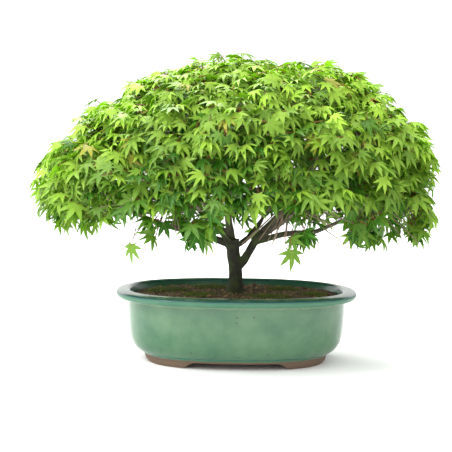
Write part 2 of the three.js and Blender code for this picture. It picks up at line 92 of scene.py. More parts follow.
class PotSettings(bpy.types.PropertyGroup):
    lip_overhang: length("Lip overhang", "How far the lip stands out past the wall", 16)
    lip_height: length("Lip height", "From the lip's underside to the rim", 11)
    lip_width: length("Lip width", "Across the top of the lip", 20)
    wall: length("Wall", "Thickness of the wall", 7)
    floor: length("Floor", "Thickness of the floor", 8.4)
    foot_height: length("Foot height", "From the ground to the underside", 8.6)
    foot_width: length("Foot width", "From the outside of a foot to its inside", 24)
    foot_gap_length: length("Long foot gap", "Between the left and right feet", 140)
    foot_gap_depth: length("End foot gap", "Between the front and back feet", 64)
    bracket_run: length("Bracket", "How far a foot's inner end slopes", 15)
    oval_power: FloatProperty(name="Oval power", description="2 is an ellipse, more is squarer", default=2.45)
    hole_radius: length("Drain hole", "Radius of a drain hole", 11)
    hole_spacing: length("Hole spacing", "Between the middles of the drain holes", 116)
    wobble: length("Throwing wobble", "Unevenness of the wall from hand pressing", 0.35)
    glaze: colour("Glaze", "Where the glaze is even", "#386447")
    thin_glaze: colour("Thin glaze", "Where the glaze ran thin over an edge", "#70906b")
    pooled_glaze: colour("Pooled glaze", "Where the glaze ran thick", "#2f6f58")
    blue_line: colour("Cobalt line", "The line where two coats of glaze meet on the lip", "#274a5e")
    clay: colour("Fired clay", "The unglazed foot band", "#77624f")


class SoilSettings(bpy.types.PropertyGroup):
    below_rim: length("Below the rim", "Depth of the soil's edge below the rim", 9.5)
    mound: length("Mound", "Height of the soil at the trunk above its edge", 4)
    crumbs: IntProperty(name="Crumbs", description="Loose crumbs on the soil", default=1500)
    sprigs: IntProperty(name="Moss shoots", description="Shoots on each cushion of moss", default=420)
    # dark is the colour in the hollows between the clods, light the colour on their tops and on the crumbs.
    dark: colour("Wet soil", "Soil in the hollows", "#3a2d1f")
    light: colour("Dry soil", "Soil on the crumbs", "#ab8c66")
    moss_deep: colour("Deep moss", "Moss between its shoots", "#2f3d12")
    moss_bright: colour("Bright moss", "The tips of the moss", "#77832f")


class TreeSettings(bpy.types.PropertyGroup):
    leaf_length: length("Leaf length", "Of the middle lobe of a middling leaf", 21.5)
    leaf_spread: FloatProperty(name="Leaf sizes", description="How much leaves differ in size", default=0.26)
    shoot_spacing: length("Shoot spacing", "Between the tips of neighbouring shoots", 24)
    leaves_per_shoot: IntProperty(name="Leaves", description="Leaves at each shoot's tip", default=12)
    seed: IntProperty(name="Seed", description="Changes where every leaf lies", default=7)
    bark_grain: length("Bark grain", "Depth of the bark's ridges", 0.35)
    trunk_bark: colour("Trunk bark", "Old bark near the soil", "#2e2d20")
    limb_bark: colour("Limb bark", "Younger bark on the limbs", "#6f6753")
    algae: colour("Algae", "The green film on damp bark", "#39491d")
    twig: colour("Twig", "Bark of this year's shoots", "#6d5240")
    # Leaves are painted between these two by how light falls on them: painted shade low down and inside the
    # crown, painted light at its top.
    leaf_deep: colour("Shaded leaf", "Leaves low down and inside", "#3a7c12")
    leaf_painted_light: colour("Fresh leaf", "Leaves at the top of the crown", "#c9ec55")
    leaf_vein: colour("Vein", "The midribs of the lobes", "#d2e68c")
    leaf_tip: colour("Leaf tip", "The tips of young lobes", "#b4863c")
    stalk: colour("Leaf stalk", "The stalks of the leaves", "#a5603f")


class StageSettings(bpy.types.PropertyGroup):
    distance: length("Camera distance", "From the camera to the middle of the tree", 1479)
    height: length("Camera height", "Above the surface that the pot stands on", 293)
    aim_height: length("Aim height", "Height that the camera looks at", 181)
    aside: length("Camera offset", "Of the camera from the middle of the pot", -15)
    lens: FloatProperty(name="Lens", description="Focal length in millimetres", default=86.9)
    roll: FloatProperty(
        name="Roll", description="Turn of the camera", default=math.radians(0.7), unit="ROTATION"
    )
    paper: colour("Paper", "The white sweep under the pot", "#fbfbfa")


# ------------------------------------------------------------------ small tools


def add(tree, kind, inputs=(), **settings):
    """Adds a node, sets it up and fills its inputs with values or links them to sockets."""
    node = tree.nodes.new(kind)
    for name, value in settings.items():
        setattr(node, name, value)
    for key, value in dict(inputs).items():
        if isinstance(value, bpy.types.NodeSocket):
            tree.links.new(value, node.inputs[key])
        else:
            node.inputs[key].default_value = value
    return node


def new_material(name):
    """An empty material and its node tree."""
    material = bpy.data.materials.new(name)
    material.use_nodes = True
    material.node_tree.nodes.clear()
    return material, material.node_tree


def mesh_of(bm, name, smooth=False):
    """The bmesh as a mesh. The bmesh is freed."""
    mesh = bpy.data.meshes.new(name)
    if smooth:
        for face in bm.faces:
            face.smooth = True
    bm.to_mesh(mesh)
    bm.free()
    return mesh


def in_scene(name, data):
    """A new object of the data, linked to the scene."""
    thing = bpy.data.objects.new(name, data)
    bpy.context.scene.collection.objects.link(thing)
    return thing


def finish_piece(bm, name, material, slot, *nodes, sharp_degrees=None):
    """Turns a bmesh into a piece that rides on the one body and stands for the CAD nodes named."""
    mesh = mesh_of(bm, name, smooth=True)
    if sharp_degrees:
        mesh.set_sharp_from_angle(angle=math.radians(sharp_degrees))
    mesh.materials.append(material)
    piece = in_scene(name, mesh)
    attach(piece, "root")
    if nodes:
        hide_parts(*nodes)
    return piece


def modified(bm, *modifiers):
    """The bmesh after the modifiers, each given as its type and its settings."""
    work = in_scene("work", mesh_of(bm, "work"))
    for kind, settings in modifiers:
        modifier = work.modifiers.new(kind, kind)
        for key, value in settings.items():
            setattr(modifier, key, value)
    bpy.context.view_layer.update()
    result = bmesh.new()
    result.from_mesh(work.evaluated_get(bpy.context.evaluated_depsgraph_get()).to_mesh())
    bpy.data.objects.remove(work)
    return result


def boolean(bm, other, operation):
    """The bmesh after the other one is joined to it or cut from it."""
    tool = in_scene("tool", mesh_of(other, "tool"))
    result = modified(bm, ("BOOLEAN", {"object": tool, "operation": operation, "solver": "EXACT"}))
    bpy.data.objects.remove(tool)
    return result


def node_bmesh(node):
    """A merged copy of a CAD node's mesh."""
    bm = bmesh.new()
    bm.from_mesh(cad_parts[node].data)
    bmesh.ops.remove_doubles(bm, verts=bm.verts, dist=0.01 * MM)
    return bm


def scattered(bm, placements):
    """Adds copies of small meshes to a bmesh. Each placement is a mesh, a matrix and a tint."""
    for template, matrix, tint in placements:
        copy = template.copy()
        copy.transform(matrix)
        copy.attributes["tint"].data.foreach_set("value", [tint] * len(copy.vertices))
        bm.from_mesh(copy)
        bpy.data.meshes.remove(copy)


def template_mesh(bm, name):
    """A small mesh to be copied many times, with room for a tint on each copy."""
    mesh = mesh_of(bm, name, smooth=True)
    mesh.attributes.new("tint", "FLOAT", "POINT")
    return mesh


def extent(points):
    """The lowest and highest corners of the box round the points."""
    axes = list(zip(*points))
    return Vector([min(axis) for axis in axes]), Vector([max(axis) for axis in axes])


def rounded(corners, steps=5):
    """A profile with its corners rounded. Each corner is across, up and the length that the
    rounding takes from the edges beside it."""
    points = [Vector(corner[:2]) for corner in corners]
    line = [points[0]]
    for i in range(1, len(points) - 1):
        before, here, after = points[i - 1 : i + 2]
        reach = corners[i][2]
        start = here + (before - here).normalized() * min(reach, 0.49 * (before - here).length)
        end = here + (after - here).normalized() * min(reach, 0.49 * (after - here).length)
        for step in range(steps + 1):
            t = step / steps
            line.append(start.lerp(here, t).lerp(here.lerp(end, t), t))
    line.append(points[-1])
    return line


def spun(profile, steps=160, closed=False):
    """A bmesh of a profile turned once round the upright axis, as a true circle."""
    bm = bmesh.new()
    verts = [bm.verts.new((x, 0, z)) for x, z in profile]
    edges = [bm.edges.new(pair) for pair in zip(verts, verts[1:])]
    if closed:
        edges.append(bm.edges.new((verts[-1], verts[0])))
    bmesh.ops.spin(bm, geom=verts + edges, axis=(0, 0, 1), angle=2 * math.pi, steps=steps, use_merge=True)
    bmesh.ops.remove_doubles(bm, verts=bm.verts, dist=0.002 * MM)
    bmesh.ops.recalc_face_normals(bm, faces=bm.faces)
    return bm


def drawn_out(bm, cap, first):
    """Extrudes a tube's end cap. Returns the new cap and its vertices, and leaves no cap inside."""
    grown = bmesh.ops.extrude_face_region(bm, geom=[cap])["geom"]
    if not first:
        bmesh.ops.delete(bm, geom=[cap], context="FACES_ONLY")
    ring = [g for g in grown if isinstance(g, bmesh.types.BMVert)]
    return next(g for g in grown if isinstance(g, bmesh.types.BMFace)), ring


def tube(bm, points, radii, sides):
    """Adds a closed tube that runs through the points."""
    heading = (points[1] - points[0]).normalized()
    place = Matrix.Translation(points[0]) @ heading.to_track_quat("Z", "Y").to_matrix().to_4x4()
    ring = bmesh.ops.create_circle(bm, cap_ends=True, segments=sides, radius=radii[0], matrix=place)["verts"]
    cap = ring[0].link_faces[0]
    for i in range(1, len(points)):
        ahead = points[min(i + 1, len(points) - 1)] - points[i - 1]
        turned = ahead.normalized()
        cap, ring = drawn_out(bm, cap, i == 1)
        move = (
            Matrix.Translation(points[i])
            @ heading.rotation_difference(turned).to_matrix().to_4x4()
            @ Matrix.Scale(radii[i] / radii[i - 1], 4)
            @ Matrix.Translation(-points[i - 1])
        )
        bmesh.ops.transform(bm, matrix=move, verts=ring)
        heading = turned


# ------------------------------------------------------------------ the pot's oval


# Inside this share of the rim's half length, the oval rings keep one shape.
CORE_SHARE = 0.6
# Outside it, the half depth that goes with each unit of half length.
DEPTH_SHARE = 0.85


def oval_depth(half):
    """The half depth of the oval ring whose half length is given."""
    core = CORE_SHARE * RIM_LENGTH
    if half > core:
        return RIM_DEPTH - DEPTH_SHARE * (RIM_LENGTH - half)
    return half * (RIM_DEPTH - DEPTH_SHARE * (RIM_LENGTH - core)) / core


def make_oval(verts):
    """Moves what was turned as a circle to the pot's oval."""
    power = 2 / bpy.context.scene.bonsai_pot.oval_power
    for vert in verts:
        radius = math.hypot(vert.co.x, vert.co.y)
        if radius < 1e-9:
            continue
        across, along = vert.co.x / radius, vert.co.y / radius
        vert.co.x = radius * math.copysign(abs(across) ** power, across)
        vert.co.y = oval_depth(radius) * math.copysign(abs(along) ** power, along)


def oval_share(x, y, half):
    """How far a point is from the middle, where 1 is on the oval ring of that half length."""
    power = bpy.context.scene.bonsai_pot.oval_power
    return (abs(x / half) ** power + abs(y / oval_depth(half)) ** power) ** (1 / power)


# ------------------------------------------------------------------ materials


def glaze_material():
    """Celadon glaze on stoneware, dipped and fired: glassy, thin and pale over edges, deep where
    it pools, with a cobalt line on the lip, iron specks, and bare brown clay at the feet."""
    pot = bpy.context.scene.bonsai_pot
    material, tree = new_material("celadon_glaze_dipped_and_fired")
    place = add(tree, "ShaderNodeTexCoord").outputs["Object"]
    up = add(tree, "ShaderNodeSeparateXYZ", {0: place}).outputs["Z"]
    drift = {"Vector": place, "Scale": 1 / (45 * MM), "Detail": 4.0, "Roughness": 0.6}
    cloud = add(tree, "ShaderNodeTexNoise", drift).outputs["Fac"]
    grain = add(
        tree, "ShaderNodeTexNoise", {"Vector": place, "Scale": 1 / (3 * MM), "Detail": 3.0}
    ).outputs["Fac"]
    wander = add(
        tree, "ShaderNodeTexNoise", {"Vector": place, "Scale": 1 / (14 * MM), "Detail": 2.0}
    ).outputs["Fac"]
    clay_grit = add(
        tree, "ShaderNodeTexNoise", {"Vector": place, "Scale": 1 / (1.6 * MM), "Detail": 5.0}
    ).outputs["Fac"]
    wave = 3 * MM  # how far the edges of the coats wander up and down
    level = add(
        tree, "ShaderNodeMath", {0: wander, 1: wave, 2: up}, operation="MULTIPLY_ADD"
    ).outputs[0]

    def band(low, high, soft, most):
        """The most between two heights, fading to 0 over the soft length."""
        low, high = low + wave / 2, high + wave / 2
        rise = add(tree, "ShaderNodeMapRange", {0: level, 1: low - soft, 2: low + soft})
        fall = add(tree, "ShaderNodeMapRange", {0: level, 1: high - soft, 2: high + soft, 3: most, 4: 0.0})
        both = {0: rise.outputs[0], 1: fall.outputs[0]}
        return add(tree, "ShaderNodeMath", both, operation="MULTIPLY").outputs[0]

    mottled = add(
        tree, "ShaderNodeMapRange", {0: cloud, 1: 0.35, 2: 0.7, 3: 0.0, 4: 0.45}
    ).outputs[0]
    specks = add(tree, "ShaderNodeTexVoronoi", {"Vector": place, "Scale": 1 / (12 * MM), "Randomness": 1.0})
    fleck = add(
        tree, "ShaderNodeMapRange", {0: specks.outputs["Distance"], 1: 0.06, 2: 0.13, 3: 0.9, 4: 0.0}
    ).outputs[0]
    few = add(
        tree, "ShaderNodeMath", {0: specks.outputs["Color"], 1: 0.55}, operation="GREATER_THAN"
    ).outputs[0]
    fleck = add(tree, "ShaderNodeMath", {0: fleck, 1: few}, operation="MULTIPLY").outputs[0]
    lip_under = RIM_HEIGHT - pot.lip_height
    belly = pot.foot_height + 5.4 * MM
    # Each coat over the even glaze: where it shows, and its colour.
    coats = (
        (mottled, pot.thin_glaze),
        (band(lip_under - 3 * MM, lip_under - 0.2 * MM, 1 * MM, 0.6), pot.thin_glaze),
        (band(lip_under + 1 * MM, lip_under + 9 * MM, 1.5 * MM, 0.55), pot.pooled_glaze),
        (band(lip_under + 7.2 * MM, lip_under + 8.6 * MM, 0.5 * MM, 0.8), pot.blue_line),
        (band(RIM_HEIGHT - 0.9 * MM, RIM_HEIGHT + 2.5 * MM, 0.6 * MM, 0.5), pot.thin_glaze),
        (band(belly - 2.4 * MM, belly + 3 * MM, 1.2 * MM, 0.75), pot.pooled_glaze),
        (fleck, linear("#3a3426")),
    )
    skin = pot.glaze
    for share, coat in coats:
        skin = add(tree, "ShaderNodeMix", {0: share, 6: skin, 7: coat}, data_type="RGBA").outputs[2]
    dark_clay = tuple(c * 0.62 for c in pot.clay[:3]) + (1,)
    bare = add(tree, "ShaderNodeMix", {0: clay_grit, 6: dark_clay, 7: pot.clay}, data_type="RGBA").outputs[2]
    edge = pot.foot_height + 3 * MM + wave / 2
    glazed = add(
        tree, "ShaderNodeMapRange", {0: level, 1: edge - 0.4 * MM, 2: edge + 0.4 * MM}
    ).outputs[0]
    surface = add(tree, "ShaderNodeMix", {0: glazed, 6: bare, 7: skin}, data_type="RGBA").outputs[2]
    rough = add(tree, "ShaderNodeMapRange", {0: glazed, 3: 0.85, 4: 0.16}).outputs[0]
    ripple = add(
        tree, "ShaderNodeMath", {0: grain, 1: 0.25, 2: clay_grit}, operation="MULTIPLY_ADD"
    ).outputs[0]
    dampen = add(tree, "ShaderNodeMapRange", {0: glazed, 3: 0.35, 4: 0.05}).outputs[0]
    bump = add(tree, "ShaderNodeBump", {"Strength": dampen, "Distance": 0.4 * MM, "Height": ripple})
    finish = {"Base Color": surface, "Roughness": rough, "Normal": bump.outputs[0], "IOR": 1.52}
    shader = add(tree, "ShaderNodeBsdfPrincipled", finish)
    add(tree, "ShaderNodeOutputMaterial", {0: shader.outputs[0]})
    return material


def bark_material():
    """Maple bark, grown: grey brown and smooth on the limbs, dark and finely ridged on the
    trunk, with a green film of algae, so nothing of it shines."""
    tree_look = bpy.context.scene.bonsai_tree
    material, tree = new_material("maple_bark_grown")
    place = add(tree, "ShaderNodeTexCoord").outputs["Object"]
    up = add(tree, "ShaderNodeSeparateXYZ", {0: place}).outputs["Z"]
    stretched = add(tree, "ShaderNodeMapping", {"Vector": place, "Scale": (1.0, 1.0, 0.28)}).outputs[0]
    ridge_noise = {"Vector": stretched, "Scale": 1 / (3 * MM), "Detail": 6.0, "Roughness": 0.62}
    ridges = add(tree, "ShaderNodeTexNoise", ridge_noise).outputs["Fac"]
    patches = add(
        tree, "ShaderNodeTexNoise", {"Vector": place, "Scale": 1 / (16 * MM), "Detail": 3.0}
    ).outputs["Fac"]
    young, old = RIM_HEIGHT + 105 * MM, RIM_HEIGHT + 60 * MM
    age = add(tree, "ShaderNodeMapRange", {0: up, 1: young, 2: old}).outputs[0]
    barks = {0: age, 6: tree_look.limb_bark, 7: tree_look.trunk_bark}
    bark = add(tree, "ShaderNodeMix", barks, data_type="RGBA").outputs[2]
    shade = add(tree, "ShaderNodeMapRange", {0: ridges, 1: 0.3, 2: 0.72, 3: 0.35, 4: 1.35}).outputs[0]
    toned = add(
        tree, "ShaderNodeMix", {0: 1.0, 6: bark, 7: shade}, data_type="RGBA", blend_type="MULTIPLY"
    )
    film = add(tree, "ShaderNodeMapRange", {0: patches, 1: 0.42, 2: 0.62, 3: 0.0, 4: 0.75}).outputs[0]
    green = add(tree, "ShaderNodeMath", {0: film, 1: age}, operation="MULTIPLY").outputs[0]
    skin = add(
        tree, "ShaderNodeMix", {0: green, 6: toned.outputs[2], 7: tree_look.algae}, data_type="RGBA"
    )
    bump = add(tree, "ShaderNodeBump", {"Strength": 0.6, "Distance": 0.8 * MM, "Height": ridges})
    shader = add(
        tree,
        "ShaderNodeBsdfPrincipled",
        {"Base Color": skin.outputs[2], "Roughness": 0.82, "Normal": bump.outputs[0]},
    )
    add(tree, "ShaderNodeOutputMaterial", {0: shader.outputs[0]})
    return material


def twig_material():
    """Young maple shoots, grown: thin smooth red-brown bark with a slight sheen."""
    tree_look = bpy.context.scene.bonsai_tree
    material, tree = new_material("young_shoot_bark_grown")
    place = add(tree, "ShaderNodeTexCoord").outputs["Object"]
    patches = add(
        tree, "ShaderNodeTexNoise", {"Vector": place, "Scale": 1 / (9 * MM), "Detail": 3.0}
    ).outputs["Fac"]
    spread = add(tree, "ShaderNodeMapRange", {0: patches, 1: 0.35, 2: 0.65}).outputs[0]
    barks = {0: spread, 6: tree_look.twig, 7: tree_look.limb_bark}
    skin = add(tree, "ShaderNodeMix", barks, data_type="RGBA")
    shader = add(tree, "ShaderNodeBsdfPrincipled", {"Base Color": skin.outputs[2], "Roughness": 0.6})
    add(tree, "ShaderNodeOutputMaterial", {0: shader.outputs[0]})
    return material


def leaf_material():
    """Maple leaf, grown: a thin waxy blade that lets yellow-green light through, with pale midribs, bronze
    tips on young leaves and a red stalk, painted lighter high in the crown and darker low down and inside as
    painted light and painted shade."""
    look = bpy.context.scene.bonsai_tree
    material, tree = new_material("maple_leaf_grown")
    marks = add(tree, "ShaderNodeAttribute", attribute_name="leaf_marks").outputs["Color"]
    parts = add(tree, "ShaderNodeSeparateColor", {0: marks})
    rib, reach = parts.outputs[0], parts.outputs[1]
    tint = add(tree, "ShaderNodeAttribute", attribute_name="tint").outputs["Fac"]
    place = add(tree, "ShaderNodeTexCoord").outputs["Object"]
    mottle = add(
        tree, "ShaderNodeTexNoise", {"Vector": place, "Scale": 1 / (5 * MM), "Detail": 3.0}
    ).outputs["Fac"]
    shifted = add(
        tree, "ShaderNodeMath", {0: mottle, 1: 0.3, 2: tint}, operation="MULTIPLY_ADD"
    ).outputs[0]
    marked = add(tree, "ShaderNodeMath", {0: rib, 1: reach}, operation="ADD").outputs[0]
    # Each share of the leaf's look: what it is read from, where that starts and ends, and the most.
    ranges = {
        # The painted_light share lays painted light on leaves high in the crown and leaves painted shade low
        # down and inside, read from each leaf's tint.
        "painted_light": (shifted, 0.15, 1.15, 1.0),
        "vein": (rib, 0.9, 1.0, 0.5),
        "tip": (reach, 0.78, 1.0, 0.7),
        "young": (tint, 0.55, 1.0, 1.0),
        "bronze": (tint, 1.2, 1.3, 0.55),
        "blade": (marked, 0.03, 0.06, 1.0),
        "ridge": (rib, 0.75, 1.0, 1.0),
    }
    share = {
        name: add(tree, "ShaderNodeMapRange", {0: value, 1: start, 2: end, 4: most}).outputs[0]
        for name, (value, start, end, most) in ranges.items()
    }
    young_tip = add(
        tree, "ShaderNodeMath", {0: share["tip"], 1: share["young"]}, operation="MULTIPLY"
    ).outputs[0]
    skin = look.leaf_deep
    layers = (
        (share["painted_light"], look.leaf_painted_light),
        (share["vein"], look.leaf_vein),
        (young_tip, look.leaf_tip),
        (share["bronze"], look.leaf_tip),
    )
    for part, shade in layers:
        skin = add(tree, "ShaderNodeMix", {0: part, 6: skin, 7: shade}, data_type="RGBA").outputs[2]
    stalk_and_blade = {0: share["blade"], 6: look.stalk, 7: skin}
    skin = add(tree, "ShaderNodeMix", stalk_and_blade, data_type="RGBA").outputs[2]
    bump = add(tree, "ShaderNodeBump", {"Strength": 0.3, "Distance": 0.4 * MM, "Height": share["ridge"]})
    finish = {"Base Color": skin, "Roughness": 0.42, "Normal": bump.outputs[0], "IOR": 1.42}
    gloss = add(tree, "ShaderNodeBsdfPrincipled", finish)
    warm = {0: 1.0, 6: skin, 7: linear("#f4ff9a")}
    glow = add(tree, "ShaderNodeMix", warm, data_type="RGBA", blend_type="MULTIPLY")
    through = add(tree, "ShaderNodeBsdfTranslucent", {"Color": glow.outputs[2]})
    both = add(tree, "ShaderNodeMixShader", {0: 0.5, 1: gloss.outputs[0], 2: through.outputs[0]})
    add(tree, "ShaderNodeOutputMaterial", {0: both.outputs[0]})
    return material


def soil_material():
    """Potting soil, loose: darker in the hollows between its clods, lighter on their tops and on the crumbs,
    with no shine.
    """
    soil = bpy.context.scene.bonsai_soil
    material, tree = new_material("potting_soil_loose")
    place = add(tree, "ShaderNodeTexCoord").outputs["Object"]
    tint = add(tree, "ShaderNodeAttribute", attribute_name="tint").outputs["Fac"]
    clod_noise = {"Vector": place, "Scale": 1 / (5 * MM), "Detail": 6.0, "Roughness": 0.7}
    clods = add(tree, "ShaderNodeTexNoise", clod_noise).outputs["Fac"]
    film = add(
        tree, "ShaderNodeTexNoise", {"Vector": place, "Scale": 1 / (30 * MM), "Detail": 3.0}
    ).outputs["Fac"]
    spread = add(tree, "ShaderNodeMath", {0: tint, 1: 0.5, 2: clods}, operation="MULTIPLY_ADD").outputs[0]
    # Darker in the hollows of the clods and lighter on their tops, following the same noise as the bump.
    tone = add(tree, "ShaderNodeMapRange", {0: spread, 1: 0.35, 2: 1.05}).outputs[0]
    earth = add(tree, "ShaderNodeMix", {0: tone, 6: soil.dark, 7: soil.light}, data_type="RGBA")
    green = add(tree, "ShaderNodeMapRange", {0: film, 1: 0.5, 2: 0.68, 3: 0.0, 4: 0.45}).outputs[0]
    skin = add(tree, "ShaderNodeMix", {0: green, 6: earth.outputs[2], 7: soil.moss_deep}, data_type="RGBA")
    bump = add(tree, "ShaderNodeBump", {"Strength": 0.8, "Distance": 1 * MM, "Height": clods})
    shader = add(
        tree,
        "ShaderNodeBsdfPrincipled",
        {"Base Color": skin.outputs[2], "Roughness": 0.95, "Normal": bump.outputs[0]},
    )
    add(tree, "ShaderNodeOutputMaterial", {0: shader.outputs[0]})
    return material


def moss_material():
    """Cushion moss, grown: velvety, bright at the tips of its shoots and deep between them."""
    soil = bpy.context.scene.bonsai_soil
    material, tree = new_material("cushion_moss_grown")
    place = add(tree, "ShaderNodeTexCoord").outputs["Object"]
    tint = add(tree, "ShaderNodeAttribute", attribute_name="tint").outputs["Fac"]
    tufts = add(
        tree, "ShaderNodeTexNoise", {"Vector": place, "Scale": 1 / (2.5 * MM), "Detail": 5.0}
    ).outputs["Fac"]
    spread = add(tree, "ShaderNodeMath", {0: tint, 1: 0.55, 2: tufts}, operation="MULTIPLY_ADD").outputs[0]
    tone = add(tree, "ShaderNodeMapRange", {0: spread, 1: 0.4, 2: 1.0}).outputs[0]
    skin = add(tree, "ShaderNodeMix", {0: tone, 6: soil.moss_deep, 7: soil.moss_bright}, data_type="RGBA")
    bump = add(tree, "ShaderNodeBump", {"Strength": 0.9, "Distance": 0.8 * MM, "Height": tufts})
    shader = add(
        tree,
        "ShaderNodeBsdfPrincipled",
        {"Base Color": skin.outputs[2], "Roughness": 0.95, "Normal": bump.outputs[0]},
    )
    add(tree, "ShaderNodeOutputMaterial", {0: shader.outputs[0]})
    return material


def grit_material():
    """Crushed pumice and lava grit, sieved: 3 to 5 mm grains of buff, grey and rust."""
    material, tree = new_material("pumice_grit_sieved")
    place = add(tree, "ShaderNodeTexCoord").outputs["Object"]
    grains = add(tree, "ShaderNodeTexVoronoi", {"Vector": place, "Scale": 1 / (4 * MM)})
    stones = {0: grains.outputs["Color"], 6: linear("#6d6254"), 7: linear("#a8967c")}
    tone = add(tree, "ShaderNodeMix", stones, data_type="RGBA")
    relief = {"Strength": 1.0, "Distance": 1.5 * MM, "Height": grains.outputs["Distance"]}
    bump = add(tree, "ShaderNodeBump", relief, invert=True)
    finish = {"Base Color": tone.outputs[2], "Roughness": 0.92, "Normal": bump.outputs[0]}
    shader = add(tree, "ShaderNodeBsdfPrincipled", finish)
    add(tree, "ShaderNodeOutputMaterial", {0: shader.outputs[0]})
    return material


def net_material():
    """Black polyethylene net, extruded: dull and slightly dusty."""
    material, tree = new_material("polyethylene_net_extruded")
    place = add(tree, "ShaderNodeTexCoord").outputs["Object"]
    dust = add(
        tree, "ShaderNodeTexNoise", {"Vector": place, "Scale": 1 / (2 * MM), "Detail": 3.0}
    ).outputs["Fac"]
    shades = {0: dust, 6: linear("#191917"), 7: linear("#43403a")}
    tone = add(tree, "ShaderNodeMix", shades, data_type="RGBA")
    shader = add(tree, "ShaderNodeBsdfPrincipled", {"Base Color": tone.outputs[2], "Roughness": 0.55})
    add(tree, "ShaderNodeOutputMaterial", {0: shader.outputs[0]})
    return material


def wire_material():
    """Brown anodised aluminium training wire, drawn: satin, with fine marks along it."""
    material, tree = new_material("anodised_aluminium_wire_drawn")
    place = add(tree, "ShaderNodeTexCoord").outputs["Object"]
    marks = add(
        tree, "ShaderNodeTexNoise", {"Vector": place, "Scale": 1 / (1 * MM), "Detail": 2.0}
    ).outputs["Fac"]
    rough = add(tree, "ShaderNodeMapRange", {0: marks, 3: 0.3, 4: 0.5}).outputs[0]
    finish = {"Base Color": linear("#8a6f58"), "Metallic": 1.0, "Roughness": rough}
    shader = add(tree, "ShaderNodeBsdfPrincipled", finish)
    add(tree, "ShaderNodeOutputMaterial", {0: shader.outputs[0]})
    return material


# ------------------------------------------------------------------ pot


def pot_profile():
    """The pot's section from the middle of its underside, up the outside, over the lip and down
    to the middle of its floor. Each corner is across, up and its rounding."""
    pot, rim, height = bpy.context.scene.bonsai_pot, RIM_LENGTH, RIM_HEIGHT
    wall = rim - pot.lip_overhang
    inner = wall - pot.wall
    mouth = rim - pot.lip_width
    band = wall - BAND_INSET
    foot = pot.foot_height
    under = height - pot.lip_height
    floor = foot + pot.floor
    corners = [
        (0, foot, 0),
        (band - 2 * MM, foot, 0.6 * MM),
        (band + 1.4 * MM, foot + 4.6 * MM, 0.7 * MM),
        (band + 2.4 * MM, foot + 5.6 * MM, 0.6 * MM),
        (band + 6.5 * MM, foot + 7.2 * MM, 3 * MM),
        (band + 13 * MM, foot + 13.5 * MM, 6 * MM),
        (band + 18 * MM, foot + 24 * MM, 8 * MM),
        (band + 20.6 * MM, foot + 42 * MM, 12 * MM),
        (wall, foot + 62 * MM, 8 * MM),
        (wall + 0.4 * MM, under + 0.2 * MM, 1.2 * MM),
        (rim - 3 * MM, under + 0.4 * MM, 2 * MM),
        (rim, under + 4 * MM, 2.4 * MM),
        (rim - 1.2 * MM, under + 8.4 * MM, 2.2 * MM),
        (rim - 7 * MM, height - 1.2 * MM, 3 * MM),
        (mouth + 3 * MM, height, 2 * MM),
        (mouth, height - 2 * MM, 1.6 * MM),
        (inner - 0.5 * MM, under - 3 * MM, 5 * MM),
        (inner, foot + 44 * MM, 8 * MM),
        (band + 9 * MM, foot + 21 * MM, 6 * MM),
        (band - 4 * MM, floor + 4 * MM, 3 * MM),
        (band - 12 * MM, floor, 3 * MM),
        (0, floor, 0),
    ]
    return rounded(corners)


def foot_gap(span, reach, turned):
    """A bar that is cut out between two feet, with a stepped slope at each end."""
    pot = bpy.context.scene.bonsai_pot
    top, run = pot.foot_height, pot.bracket_run
    half = span / 2
    steps = ((0, 0), (0.35, 0.4), (0.6, 0.72), (1, 1))
    slope = [(half, -MM)] + [(half - inward * run, up * top) for inward, up in steps]
    outline = slope + [(-x, z) for x, z in reversed(slope)]
    bm = bmesh.new()
    face = bm.faces.new([bm.verts.new((x, -reach, z)) for x, z in outline])
    grown = bmesh.ops.extrude_face_region(bm, geom=[face])["geom"]
    ring = [g for g in grown if isinstance(g, bmesh.types.BMVert)]
    bmesh.ops.translate(bm, vec=(0, 2 * reach, 0), verts=ring)
    bmesh.ops.recalc_face_normals(bm, faces=bm.faces)
    if turned:
        bmesh.ops.rotate(bm, cent=(0, 0, 0), matrix=Matrix.Rotation(math.pi / 2, 3, "Z"), verts=bm.verts)
    return bm


class BONSAI_OT_pot(bpy.types.Operator):
    """Builds the glazed oval pot with its lip, bracket feet and drain holes"""

    bl_idname = "bonsai.pot"
    bl_label = "Pot"

    def execute(self, context):
        pot, rim = context.scene.bonsai_pot, RIM_LENGTH
        body = spun(pot_profile())
        make_oval(body.verts)
        for vert in body.verts:
            sway = noise.noise(vert.co / (55 * MM)) * pot.wobble
            flat = Vector((vert.co.x, vert.co.y, 0))
            if vert.co.z > pot.foot_height + 8 * MM and flat.length > 0.5 * rim:
                vert.co += flat.normalized() * sway - Vector((0, 0, abs(sway) * 0.5))
        band = rim - pot.lip_overhang - BAND_INSET
        foot = band - 6 * MM
        top = pot.foot_height
        ring = [
            (foot - pot.foot_width, 0),
            (foot - 0.5 * MM, 0),
            (foot + 0.4 * MM, 0.8 * MM),
            (foot + 3 * MM, 0.5 * top),
            (band - 2.05 * MM, top),
            (band - 2.05 * MM, top + MM),
            (foot - pot.foot_width - 4 * MM, top + MM),
        ]
        feet = spun(ring, closed=True)
        make_oval(feet.verts)
        feet = boolean(feet, foot_gap(pot.foot_gap_length, 2 * rim, False), "DIFFERENCE")
        feet = boolean(feet, foot_gap(pot.foot_gap_depth, 2 * rim, True), "DIFFERENCE")
        body = boolean(body, feet, "UNION")
        for side in (-1, 1):
            hole = bmesh.new()
            middle = Matrix.Translation((side * pot.hole_spacing / 2, 0, 2 * top))
            radii = {"radius1": pot.hole_radius, "radius2": pot.hole_radius}
            bmesh.ops.create_cone(hole, cap_ends=True, segments=48, depth=5 * top, matrix=middle, **radii)
            body = boolean(body, hole, "DIFFERENCE")
        bmesh.ops.remove_doubles(body, verts=body.verts, dist=0.01 * MM)
        glaze = glaze_material()
        finish_piece(body, "glazed_oval_pot", glaze, "glazed_stoneware", "pot", sharp_degrees=42)
        return {"FINISHED"}


